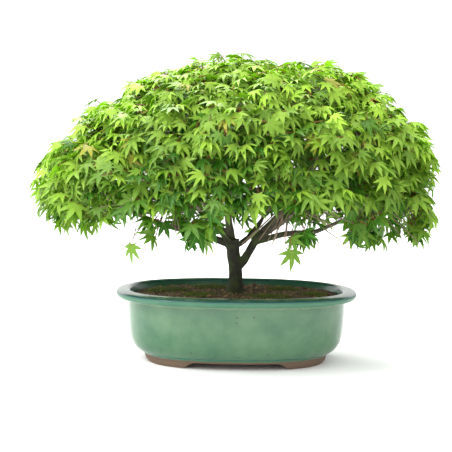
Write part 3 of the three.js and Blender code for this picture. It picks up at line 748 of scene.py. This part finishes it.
class BONSAI_OT_drain_covers(bpy.types.Operator):
    """Builds the plastic net over each drain hole and the wire that holds it"""

    bl_idname = "bonsai.drain_covers"
    bl_label = "Drain covers"

    def execute(self, context):
        plastic, wire = net_material(), wire_material()
        cells, strand = 13, 0.9 * MM
        for side in ("left", "right"):
            node = f"drain_mesh_{side}"
            low, high = (Vector(corner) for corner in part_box(node))
            place = Matrix.Translation((low + high) / 2)
            size = (high.x - low.x) / 2 - strand / 2
            bm = bmesh.new()
            bmesh.ops.create_grid(bm, x_segments=cells, y_segments=cells, size=size, matrix=place)
            ways = {"use_replace": True, "use_boundary": True, "use_even_offset": True}
            bmesh.ops.wireframe(bm, faces=bm.faces, thickness=strand, **ways)
            finish_piece(bm, f"drain_net_{side}", plastic, "drain_mesh", node, sharp_degrees=30)

            node = f"drain_mesh_wire_{side}"
            low, high = (Vector(corner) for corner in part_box(node))
            thick = (high.y - low.y) / 2
            x, y = (low.x + high.x) / 2, (low.y + high.y) / 2
            leg, bend, foot = 9 * MM, 1.6 * MM, low.z + thick
            top = high.z - thick
            nick = 0.3 * bend
            half_route = [(high.x - x, foot), (leg + bend, foot), (leg + nick, foot + nick)]
            half_route += [(leg, foot + bend), (leg, top - bend)]
            half_route += [(leg - nick, top - nick), (leg - bend, top)]
            route = half_route + [(-u, z) for u, z in reversed(half_route)]
            bm = bmesh.new()
            tube(bm, [Vector((x + u, y, z)) for u, z in route], [thick] * len(route), 10)
            bmesh.ops.recalc_face_normals(bm, faces=bm.faces)
            finish_piece(bm, f"net_wire_{side}", wire, "aluminium_wire", node, sharp_degrees=50)
        return {"FINISHED"}


# ------------------------------------------------------------------ soil and moss


# The clods of the soil, largest first: height and size, in millimetres.
CLODS = ((2.2, 17), (1.3, 6), (0.6, 2.6))


def soil_height(x, y):
    """The height of the soil: a low mound round the trunk, with clods."""
    soil, pot = bpy.context.scene.bonsai_soil, bpy.context.scene.bonsai_pot
    share = min(1.0, oval_share(x, y, RIM_LENGTH - pot.lip_overhang - pot.wall))
    spot = Vector((x, y, 0))
    clods = sum(high * noise.noise(spot / (wide * MM)) for high, wide in CLODS)
    mound = soil.mound * (1 - share * share)
    return RIM_HEIGHT - soil.below_rim + mound + clods * MM * 0.8 - 0.3 * MM


class BONSAI_OT_grit(bpy.types.Operator):
    """Finishes the layer of drainage grit under the soil"""

    bl_idname = "bonsai.grit"
    bl_label = "Grit"

    def execute(self, context):
        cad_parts["grit_layer"].material_slots[0].material = grit_material()
        return {"FINISHED"}


class BONSAI_OT_soil(bpy.types.Operator):
    """Builds the soil with its clods and loose crumbs"""

    bl_idname = "bonsai.soil"
    bl_label = "Soil"

    def execute(self, context):
        soil, pot = context.scene.bonsai_soil, context.scene.bonsai_pot
        wall = RIM_LENGTH - pot.lip_overhang
        inner = wall - pot.wall
        band = wall - BAND_INSET
        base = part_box("soil")[0][2]
        gap = 0.5 * MM
        side = [
            (0, base),
            (band - gap, base),
            (band + 8.2 * MM, pot.foot_height + 21 * MM),
            (inner - 1.6 * MM, pot.foot_height + 44 * MM),
        ]
        rings = 56
        top = [((inner - 1.2 * MM) * (rings - i) / rings, RIM_HEIGHT) for i in range(rings + 1)]
        bm = spun(side + top)
        make_oval(bm.verts)
        for vert in bm.verts:
            if vert.co.z > RIM_HEIGHT - MM:
                vert.co.z = soil_height(vert.co.x, vert.co.y)
        bm.verts.layers.float.new("tint")

        crumbs = []
        random.seed(23)
        for k in range(3):
            lump = bmesh.new()
            bmesh.ops.create_icosphere(lump, subdivisions=1, radius=1)
            for vert in lump.verts:
                vert.co *= 1 + 0.35 * noise.noise(vert.co * 1.4 + Vector((k * 5, 0, 0)))
            crumbs.append(template_mesh(lump, f"crumb_{k}"))
        trunk = trunk_base()
        clear = 11 * MM  # no crumb lies nearer to the middle of the trunk
        placements = []
        while len(placements) < soil.crumbs:
            x = random.uniform(-1, 1) * inner
            y = random.uniform(-1, 1) * inner
            if oval_share(x, y, inner) > 0.96 or math.hypot(x - trunk.x, y - trunk.y) < clear:
                continue
            size = random.uniform(0.7, 1.1) * MM * (1 + 2.2 * random.random() ** 5)
            angle = random.uniform(0, 6.3)
            axis = Vector((random.random(), random.random(), 1)).normalized()
            turn = Matrix.Rotation(angle, 4, axis)
            flatter = (size * random.uniform(0.6, 1), size * random.uniform(0.5, 0.9))
            shape = Matrix.Diagonal((size, *flatter, 1))
            place = Matrix.Translation((x, y, soil_height(x, y) + 0.25 * size)) @ turn @ shape
            placements.append((random.choice(crumbs), place, random.uniform(0, 1)))
        scattered(bm, placements)
        finish_piece(bm, "soil_and_crumbs", soil_material(), "potting_soil", "soil", sharp_degrees=55)
        return {"FINISHED"}


class BONSAI_OT_moss(bpy.types.Operator):
    """Builds the cushions of moss"""

    bl_idname = "bonsai.moss"
    bl_label = "Moss"

    def execute(self, context):
        soil = context.scene.bonsai_soil
        material = moss_material()
        shoot = bmesh.new()
        bmesh.ops.create_cone(shoot, cap_ends=True, segments=3, radius1=1, radius2=0.15, depth=2.6)
        shoot = template_mesh(shoot, "moss_shoot")
        random.seed(31)
        for node in sorted(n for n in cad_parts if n.startswith("moss_cushion")):
            bm = node_bmesh(node)
            for vert in bm.verts:
                vert.co.z -= 1.2 * MM
            remesh = ("REMESH", {"mode": "VOXEL", "voxel_size": 1.5 * MM})
            bm = modified(bm, remesh, ("SMOOTH", {"iterations": 6}))
            bm.normal_update()
            for vert in bm.verts:
                lump = noise.noise(vert.co / (7 * MM)) + 0.6 * noise.noise(vert.co / (3 * MM))
                vert.co += vert.normal * lump * 1.1 * MM
            bm.verts.layers.float.new("tint")
            bm.normal_update()
            tops = [v for v in bm.verts if v.normal.z > 0.25]
            placements = []
            for vert in random.sample(tops, min(soil.sprigs, len(tops))):
                size = random.uniform(0.35, 0.6) * MM
                lean = vert.normal + Vector((random.gauss(0, 0.25), random.gauss(0, 0.25), 0.4))
                turn = lean.to_track_quat("Z", "Y").to_matrix().to_4x4()
                place = Matrix.Translation(vert.co + lean.normalized() * size) @ turn
                placements.append((shoot, place @ Matrix.Scale(size, 4), random.uniform(0.4, 1.1)))
            scattered(bm, placements)
            name = node.replace("cushion", "tuft")
            finish_piece(bm, name, material, "moss", node, sharp_degrees=60)
        return {"FINISHED"}


# ------------------------------------------------------------------ wood


def trunk_base():
    """Where the trunk leaves the soil."""
    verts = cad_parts["trunk_and_branches"].data.vertices
    near = [v.co for v in verts if RIM_HEIGHT < v.co.z < RIM_HEIGHT + 45 * MM]
    return sum(near, Vector()) / len(near)


# Spurs that carry a limb on from its pruned end into the crown: the points each runs through and
# its radius at both ends, in millimetres.
SPURS = (
    (((27, 24, 176), (34, 30, 187), (41, 35, 201), (47, 41, 218), (57, 49, 240), (70, 58, 264)), 3.1, 1.2),
    (((36, 32, 191), (31, 41, 206), (29, 52, 224), (30, 64, 246)), 2.2, 1.0),
)


class BONSAI_OT_wood(bpy.types.Operator):
    """Builds the roots, trunk, limbs and branches as one grown piece with bark"""

    bl_idname = "bonsai.wood"
    bl_label = "Trunk and branches"

    def execute(self, context):
        look = context.scene.bonsai_tree
        wood = node_bmesh("trunk_and_branches")
        for route, thick, thin in SPURS:
            points = [Vector(point) * MM for point in route]
            steps = len(points) - 1
            radii = [(thick + (thin - thick) * i / steps) * MM for i in range(steps + 1)]
            tube(wood, points, radii, 10)
        bm = modified(
            wood,
            ("REMESH", {"mode": "VOXEL", "voxel_size": 1.1 * MM}),
            ("SMOOTH", {"factor": 0.5, "iterations": 9}),
        )
        bm.normal_update()
        for vert in bm.verts:
            spot = vert.co
            age = max(0.25, min(1, (RIM_HEIGHT + 90 * MM - spot.z) / (80 * MM)))
            ridge = noise.noise(Vector((spot.x, spot.y, spot.z * 0.3)) / (3.2 * MM))
            knot = noise.noise(spot / (11 * MM))
            vert.co += vert.normal * (look.bark_grain * age * ridge + 0.5 * MM * knot + 0.25 * MM)
        finish_piece(bm, "maple_trunk_and_branches", bark_material(), "maple_wood", "trunk_and_branches")
        return {"FINISHED"}


# ------------------------------------------------------------------ leaves

# Half of a leaf's outline, from the tip of its middle lobe round to its stalk: degrees from the
# middle lobe, share of the leaf's length, and whether it is the tip of a lobe.
LEAF_OUTLINE = (
    (0, 1.0, True),
    (13, 0.58, False),
    (20, 0.38, False),
    (27, 0.53, False),
    (40, 0.93, True),
    (53, 0.52, False),
    (61, 0.34, False),
    (68, 0.42, False),
    (80, 0.74, True),
    (93, 0.4, False),
    (103, 0.24, False),
    (122, 0.42, True),
    (180, 0.06, False),
)


# A blade's thickness where its stalk joins and along its midribs, as shares of its length.
STALK_END_THICKNESS, BLADE_THICKNESS = 0.03, 0.018


def leaf_mesh(name, droop, fold, spread, stalk):
    """A palmate leaf one unit long with a thin closed blade. Its stalk joins it at the origin,
    its middle lobe lies along +Y and its upper side faces +Z."""
    bm = bmesh.new()
    half = len(LEAF_OUTLINE) - 1
    bmesh.ops.create_circle(bm, cap_ends=True, cap_tris=True, segments=2 * half, radius=1)
    marks = bm.verts.layers.float_color.new("leaf_marks")
    bm.verts.ensure_lookup_table()
    heart, *rim = bm.verts
    heart[marks] = (1, 0, 0, 1)
    tips = []
    for k, vert in enumerate(rim):
        degrees, reach, tip = LEAF_OUTLINE[min(k, 2 * half - k)]
        angle = math.radians(degrees * (spread if degrees < 150 else 1))
        vert.co = (-math.copysign(math.sin(angle), half - k) * reach, math.cos(angle) * reach, 0)
        vert[marks] = (1.0 if tip else 0.0, reach, 0, 1)
        if tip and degrees < 100:
            tips.append(k)
    ribs = [bm.edges.get((heart, rim[k])) for k in tips]
    bmesh.ops.subdivide_edges(bm, edges=ribs, cuts=1)
    bm.verts.ensure_lookup_table()
    heart, *rim = bm.verts
    shoulders = {(k + step) % (2 * half) for k in tips for step in (-1, 1)}
    spokes = [edge for edge in (bm.edges.get((heart, rim[k])) for k in shoulders) if edge]
    bmesh.ops.dissolve_edges(bm, edges=spokes, use_verts=False)
    for k in tips:
        others = [edge.other_vert(rim[k]) for edge in rim[k].link_edges]
        middle = next(vert for vert in others if not vert.is_boundary)
        for step in (-1, 1):
            bmesh.ops.connect_verts(bm, verts=[middle, rim[(k + step) % (2 * half)]])
    for vert in bm.verts:
        reach = vert.co.length
        rib = vert[marks][0]
        vert.co.z = -droop * reach * reach + fold * reach * (1 - rib)
    for edge in bm.edges:
        if edge.is_boundary:
            edge.smooth = False
    top = bm.verts[:] + bm.edges[:] + bm.faces[:]
    under = bmesh.ops.duplicate(bm, geom=top)["geom"]
    bmesh.ops.reverse_faces(bm, faces=[g for g in under if isinstance(g, bmesh.types.BMFace)])
    for vert in under:
        if isinstance(vert, bmesh.types.BMVert) and not vert.is_boundary:
            at_stalk = vert.co.length < 0.1
            vert.co.z -= STALK_END_THICKNESS if at_stalk else BLADE_THICKNESS
    bmesh.ops.remove_doubles(bm, verts=bm.verts, dist=1e-4)

    before = set(bm.faces)
    place = Matrix.Rotation(math.pi / 2, 4, "X")
    ring = bmesh.ops.create_circle(bm, cap_ends=True, segments=3, radius=0.024, matrix=place)["verts"]
    cap = ring[0].link_faces[0]
    bmesh.ops.translate(bm, vec=(0, 0.03, -0.012), verts=ring)
    joints = ((0.45 * stalk, 0.1 * stalk, 0.95), (0.55 * stalk, 0.32 * stalk, 1.25))
    for k, (back, down, grow) in enumerate(joints):
        cap, ring = drawn_out(bm, cap, k == 0)
        bmesh.ops.translate(bm, vec=(0, -back, -down), verts=ring)
        centre = sum((v.co for v in ring), Vector()) / 3
        bmesh.ops.scale(bm, vec=(grow,) * 3, space=Matrix.Translation(-centre), verts=ring)
    stalk_faces = [f for f in bm.faces if f not in before]
    bmesh.ops.recalc_face_normals(bm, faces=stalk_faces)
    for face in stalk_faces:
        for vert in face.verts:
            vert[marks] = (0, 0, 0, 1)
    return template_mesh(bm, name)


def leaf_kinds():
    """The shapes that leaves come in: flat, drooping, folded and wide spread."""
    return [
        leaf_mesh("leaf_flat", 0.16, 0.06, 1.0, 0.6),
        leaf_mesh("leaf_drooping", 0.42, 0.1, 0.96, 0.7),
        leaf_mesh("leaf_folded", 0.3, 0.2, 0.84, 0.6),
        leaf_mesh("leaf_wide", 0.24, 0.04, 1.08, 0.5),
    ]


def leaf_place(point, facing, along, size):
    """The matrix that puts a leaf's stalk end at a point, its upper side towards facing and its
    middle lobe as near as it can to along."""
    up = facing.normalized()
    ahead = (along - up * along.dot(up)).normalized()
    side = ahead.cross(up)
    turn = Matrix((side, ahead, up)).transposed().to_4x4()
    return Matrix.Translation(point) @ turn @ Matrix.Scale(size, 4)


# How far a leaf's tip may stand out past the pads.
LEAF_MARGIN = 8 * MM


def held_in(point, low, high, margin):
    """The point, brought back to within a margin of a box."""
    return Vector([min(max(point[i], low[i] - margin), high[i] + margin) for i in range(3)])


def jitter(amount):
    """A small random step in any direction."""
    return Vector((random.gauss(0, amount), random.gauss(0, amount), random.gauss(0, amount)))


def pad_facts(node, heart):
    """A pad's middle, the way its outer side faces, and its surface for rays to hit."""
    points = [v.co.copy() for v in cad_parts[node].data.vertices]
    middle = sum(points, Vector()) / len(points)
    outward = (middle - heart).normalized()
    bm = node_bmesh(node)
    facing = Vector()
    for face in bm.faces:
        if face.normal.dot(outward) > 0.5:
            facing = facing + face.normal * face.calc_area()
    surface = BVHTree.FromBMesh(bm)
    bm.free()
    return middle, facing.normalized(), surface


# How many places on a pad are tried for a shoot, and how far from the pad's middle.
SHOOT_TRIES, PAD_REACH = 900, 95 * MM
# The height over which the crown's lower edge thins out.
HEM_HEIGHT = 75 * MM
# How much the crown opens over the trunk at the front, and half the width of the opening.
FRONT_OPENING, FRONT_WIDTH = 0.22, 95 * MM
# Twigs with no leaves where a pad is thin.
BARE_TWIGS = 4
# The turn in radians from each leaf to the next round a shoot, the golden angle.
LEAF_TURN = 2.4
# The last leaf of a shoot that lies at the pad's surface; those after it lie further in.
LAST_OUTER_LEAF = 6


class BONSAI_OT_crown(bpy.types.Operator):
    """Builds the leafy pads: shoots from each branch tip, with leaves on stalks round their ends"""

    bl_idname = "bonsai.crown"
    bl_label = "Crown"

    def execute(self, context):
        look = context.scene.bonsai_tree
        random.seed(look.seed)
        kinds = leaf_kinds()
        leaf_look, twig_look = leaf_material(), twig_material()
        nodes = sorted(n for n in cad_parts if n.startswith("foliage_pad"))
        boxes = [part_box(node) for node in nodes]
        low, high = extent([corner for box in boxes for corner in box])
        heart = Vector(((low.x + high.x) / 2, (low.y + high.y) / 2, low.z + 0.25 * (high.z - low.z)))
        taken = []
        twigs = bmesh.new()
        for node in nodes:
            middle, facing, surface = pad_facts(node, heart)
            side = facing.orthogonal().normalized()
            other = facing.cross(side)
            placements = []
            for _ in range(SHOOT_TRIES):
                angle, radius = random.uniform(0, 2 * math.pi), PAD_REACH * math.sqrt(random.random())
                start = middle + side * radius * math.cos(angle)
                start = start + other * radius * math.sin(angle) + facing * 80 * MM
                hit, normal, _, _ = surface.ray_cast(start, -facing)
                if hit is None or any((hit - t).length < look.shoot_spacing for t in taken):
                    continue
                hem = (hit.z - low.z) / HEM_HEIGHT
                at_front = math.exp(-((hit.x / FRONT_WIDTH) ** 2)) if hit.y < 0 else 0.0
                open_front = FRONT_OPENING * at_front
                height = (hit.z - low.z) / (high.z - low.z)
                taken.append(hit)
                hit = hit + normal * random.uniform(-14, 7 - 7 * height) * MM
                root = middle - facing * 5 * MM
                if random.random() > 0.34 + hem - open_front:
                    for _ in range(BARE_TWIGS):
                        self.twig(twigs, root, held_in(hit + jitter(15 * MM), low, high, 0), normal)
                    continue
                self.shoot(twigs, placements, kinds, look, root, hit, normal, heart, low, high)
            bm = bmesh.new()
            bm.verts.layers.float.new("tint")
            scattered(bm, placements)
            name = node.replace("foliage_pad", "leaves")
            finish_piece(bm, name, leaf_look, "maple_leaves", node)
        bmesh.ops.recalc_face_normals(twigs, faces=twigs.faces)
        finish_piece(twigs, "leafy_shoots", twig_look, "maple_wood")
        return {"FINISHED"}

    def twig(self, twigs, root, tip, normal):
        """A thin bowed twig from a branch tip to a point on the outside of a pad."""
        bow = root.lerp(tip, 0.55) - normal * 5 * MM + jitter(2.5 * MM)
        points = [root.lerp(bow, t / 3).lerp(bow.lerp(tip, t / 3), t / 3) for t in range(4)]
        tube(twigs, points, [1.0 * MM, 0.8 * MM, 0.65 * MM, 0.4 * MM], 4)

    def shoot(self, twigs, placements, kinds, look, root, tip, normal, heart, low, high):
        """One shoot from a branch tip to the outside of a pad, with leaves round its end."""
        self.twig(twigs, root, tip, normal)
        outward = Vector((tip.x - heart.x, tip.y - heart.y, 0)).normalized()
        height = (tip.z - low.z) / (high.z - low.z)
        turn = random.uniform(0, 6.3)
        side = normal.orthogonal().normalized()
        other = normal.cross(side)
        for k in range(look.leaves_per_shoot):
            angle = turn + LEAF_TURN * k
            ring = side * math.cos(angle) + other * math.sin(angle)
            inner = k > LAST_OUTER_LEAF
            spread = (3 + 2.6 * min(k, LAST_OUTER_LEAF) * random.uniform(0.7, 1.2)) * MM
            # How far the leaf may lie in or out of the pad's surface, in millimetres.
            deep = (-32, -14) if inner else (-13, 5) if k > 2 else (-1, 8)
            if inner and height < 0.3:
                continue
            point = tip + ring * spread + normal * random.uniform(*deep) * MM
            up = normal * 0.5 + Vector((0, 0, 0.62)) + ring * 0.35 + jitter(0.28)
            along = outward * 0.75 + Vector((0, 0, -0.45)) + ring * 0.8 + jitter(0.3)
            size = look.leaf_length * (1 + random.uniform(-1, 1) * look.leaf_spread)
            size *= 1.12 - 0.25 * height
            # Leaves are painted lighter high up and towards both ends of the crown and darker inside, as
            # painted light and painted shade, with a random spread of their own.
            tint = -0.06 + 0.85 * height + 0.42 * (tip.x / high.x) ** 2 + random.gauss(0, 0.2)
            tint -= 0.3 if inner else 0
            if random.random() < 0.02 and height > 0.45:
                tint = 1.35
            place = leaf_place(point, up, along, size)
            end = place @ Vector((0, 1, 0))
            place.translation += held_in(end, low, high, LEAF_MARGIN) - end
            placements.append((random.choice(kinds), place, tint))


# Each leaf that hangs clear of the crown: the way its stalk points, the lengths of the blade and
# the stalk in millimetres, and how far the blade hangs below the stalk in degrees.
SINGLE_LEAVES = {
    "leaf_left_tip": ((-1, 0, 0.3), 22, 8, 70),
    "leaf_left_low": ((-0.8, -0.2, -0.5), 23, 10, 35),
    "leaf_left_hanging": ((-0.2, -0.2, -1), 25, 18, 8),
    "leaf_left_shoulder": ((-0.8, 0, 0.6), 22, 9, 62),
    "leaf_crown_left": ((-0.5, -0.2, 1), 22, 8, 75),
    "leaf_crown_top": ((0.3, -0.4, 1), 23, 8, 80),
    "leaf_right_shoulder": ((0.9, 0, 0.5), 24, 9, 60),
    "leaf_right_tip": ((1, 0, 0.25), 24, 8, 65),
    "leaf_right_low": ((0.4, -0.2, -1), 25, 12, 12),
    "leaf_right_hanging": ((0.1, -0.2, -1), 26, 14, 8),
    "leaf_back_hanging": ((-0.1, 0.25, -1), 26, 14, 8),
}


class BONSAI_OT_single_leaves(bpy.types.Operator):
    """Builds the leaves that stand clear of the crown"""

    bl_idname = "bonsai.single_leaves"
    bl_label = "Single leaves"

    def execute(self, context):
        material = bpy.data.materials["maple_leaf_grown"]
        random.seed(5)
        for node, (way, size, stalk, hang) in SINGLE_LEAVES.items():
            aim = Vector(way).normalized()
            flat = Vector((aim.y, -aim.x, 0)).normalized()
            along = Matrix.Rotation(-math.radians(hang), 3, flat) @ aim
            facing = flat.cross(along)
            kind = leaf_mesh("single", 0.2, 0.05, 1.0, 0.02)
            bm = bmesh.new()
            bm.verts.layers.float.new("tint")
            place = leaf_place(Vector(), facing, along, size * MM)
            # Each lone leaf's tint sets how much painted light it gets, between the painted shade and the
            # painted light of the crown's leaves.
            scattered(bm, [(kind, place, random.uniform(0.15, 0.4))])
            start, end = -aim * (stalk + 4) * MM, Vector()
            bow = start.lerp(end, 0.5) + Vector((0, 0, 0.05 * stalk * MM))
            marks = bm.verts.layers.float_color["leaf_marks"]
            known = set(bm.verts)
            tube(bm, [start, bow, end], [0.6 * MM, 0.5 * MM, 0.45 * MM], 6)
            for vert in bm.verts:
                if vert not in known:
                    vert[marks] = (0, 0, 0, 1)
            stalk_faces = [f for f in bm.faces if not known.issuperset(f.verts)]
            bmesh.ops.recalc_face_normals(bm, faces=stalk_faces)
            low, high = extent([v.co for v in bm.verts])
            cad_low, cad_high = (Vector(corner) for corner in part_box(node))
            shift = (cad_low + cad_high) / 2 - (low + high) / 2
            bmesh.ops.translate(bm, vec=shift, verts=bm.verts)
            finish_piece(bm, node.replace("leaf_", "lone_leaf_"), material, "maple_leaves", node)
        return {"FINISHED"}


# ------------------------------------------------------------------ stage


class BONSAI_OT_stage(bpy.types.Operator):
    """Builds the flat white paper floor, the soft light and the camera"""

    bl_idname = "bonsai.stage"
    bl_label = "Stage"

    def execute(self, context):
        stage = context.scene.bonsai_stage
        bm = bmesh.new()
        bmesh.ops.create_grid(bm, x_segments=1, y_segments=1, size=40)
        sweep = in_scene("paper_sweep", mesh_of(bm, "sweep"))
        material, tree = new_material("matt_paper_rolled")
        shader = add(tree, "ShaderNodeBsdfPrincipled", {"Base Color": stage.paper, "Roughness": 0.9})
        add(tree, "ShaderNodeOutputMaterial", {0: shader.outputs[0]})
        sweep.data.materials.append(material)

        world = bpy.data.worlds.new("white_studio")
        context.scene.world = world
        world.use_nodes = True
        tree = world.node_tree
        way = add(tree, "ShaderNodeTexCoord").outputs["Generated"]
        split = add(tree, "ShaderNodeSeparateXYZ", {0: way})
        # The room is brighter on the left than on the right, and brighter overhead.
        sideways = {0: split.outputs["X"], 1: -1.0, 2: 1.0, 3: 1.85, 4: 0.62}
        sides = add(tree, "ShaderNodeMapRange", sideways).outputs[0]
        overhead = {0: split.outputs["Z"], 1: 0.8, 2: sides}
        falloff = add(tree, "ShaderNodeMath", overhead, operation="MULTIPLY_ADD").outputs[0]
        background = tree.nodes["Background"]
        background.inputs["Color"].default_value = (1, 1, 1, 1)
        tree.links.new(falloff, background.inputs["Strength"])

        # Each softbox: its name, where it stands, what it faces, its width and its power in watts.
        softboxes = (
            ("key_upper_left", (-1.1, -0.9, 1.7), (0, 0, 0.25), 1.0, 32),
            ("back_glow", (-0.3, 1.2, 1.6), (0, 0, 0.3), 1.0, 30),
        )
        for name, place, aim, width, power in softboxes:
            light = bpy.data.lights.new(name, "AREA")
            light.shape = "DISK"
            light.size = width
            light.energy = power
            lamp = in_scene(name, light)
            lamp.location = place
            lamp.rotation_euler = (Vector(aim) - Vector(place)).to_track_quat("-Z", "Y").to_euler()

        camera = in_scene("camera", bpy.data.cameras.new("camera"))
        camera.data.lens = stage.lens
        camera.data.clip_start = 0.05
        camera.location = (stage.aside, -stage.distance, stage.height)
        aim = Vector((stage.aside, 0, stage.aim_height)) - camera.location
        turn = aim.to_track_quat("-Z", "Y").to_matrix() @ Matrix.Rotation(stage.roll, 3, "Z")
        camera.rotation_euler = turn.to_euler()
        context.scene.camera = camera
        context.scene.view_settings.view_transform = "Standard"
        return {"FINISHED"}


# ------------------------------------------------------------------ panel and registration


class BONSAI_PT_pieces(bpy.types.Panel):
    """Lists the bonsai's pieces and their settings"""

    bl_label = "Maple Bonsai"
    bl_space_type = "VIEW_3D"
    bl_region_type = "UI"
    bl_category = "Bonsai"

    def draw(self, context):
        scene = context.scene
        for settings, operators in PANEL_ROWS:
            box = self.layout.box()
            for operator in operators:
                box.operator(operator.bl_idname)
            group = getattr(scene, settings)
            for name in group.__annotations__:
                box.prop(group, name)


PANEL_ROWS = (
    ("bonsai_pot", (BONSAI_OT_pot, BONSAI_OT_drain_covers)),
    ("bonsai_soil", (BONSAI_OT_grit, BONSAI_OT_soil, BONSAI_OT_moss)),
    ("bonsai_tree", (BONSAI_OT_wood, BONSAI_OT_crown, BONSAI_OT_single_leaves)),
    ("bonsai_stage", (BONSAI_OT_stage,)),
)
GROUPS = {
    "bonsai_pot": PotSettings,
    "bonsai_soil": SoilSettings,
    "bonsai_tree": TreeSettings,
    "bonsai_stage": StageSettings,
}
OPERATORS = [operator for _, operators in PANEL_ROWS for operator in operators]


def register():
    for name, group in GROUPS.items():
        bpy.utils.register_class(group)
        setattr(bpy.types.Scene, name, PointerProperty(type=group))
    for cls in (*OPERATORS, BONSAI_PT_pieces):
        bpy.utils.register_class(cls)


def unregister():
    for cls in (BONSAI_PT_pieces, *reversed(OPERATORS)):
        bpy.utils.unregister_class(cls)
    for name, group in GROUPS.items():
        delattr(bpy.types.Scene, name)
        bpy.utils.unregister_class(group)


def main():
    register()
    bpy.ops.bonsai.pot()
    bpy.ops.bonsai.drain_covers()
    bpy.ops.bonsai.grit()
    bpy.ops.bonsai.soil()
    bpy.ops.bonsai.moss()
    bpy.ops.bonsai.wood()
    bpy.ops.bonsai.crown()
    bpy.ops.bonsai.single_leaves()
    bpy.ops.bonsai.stage()


if __name__ == "__main__":
    main()
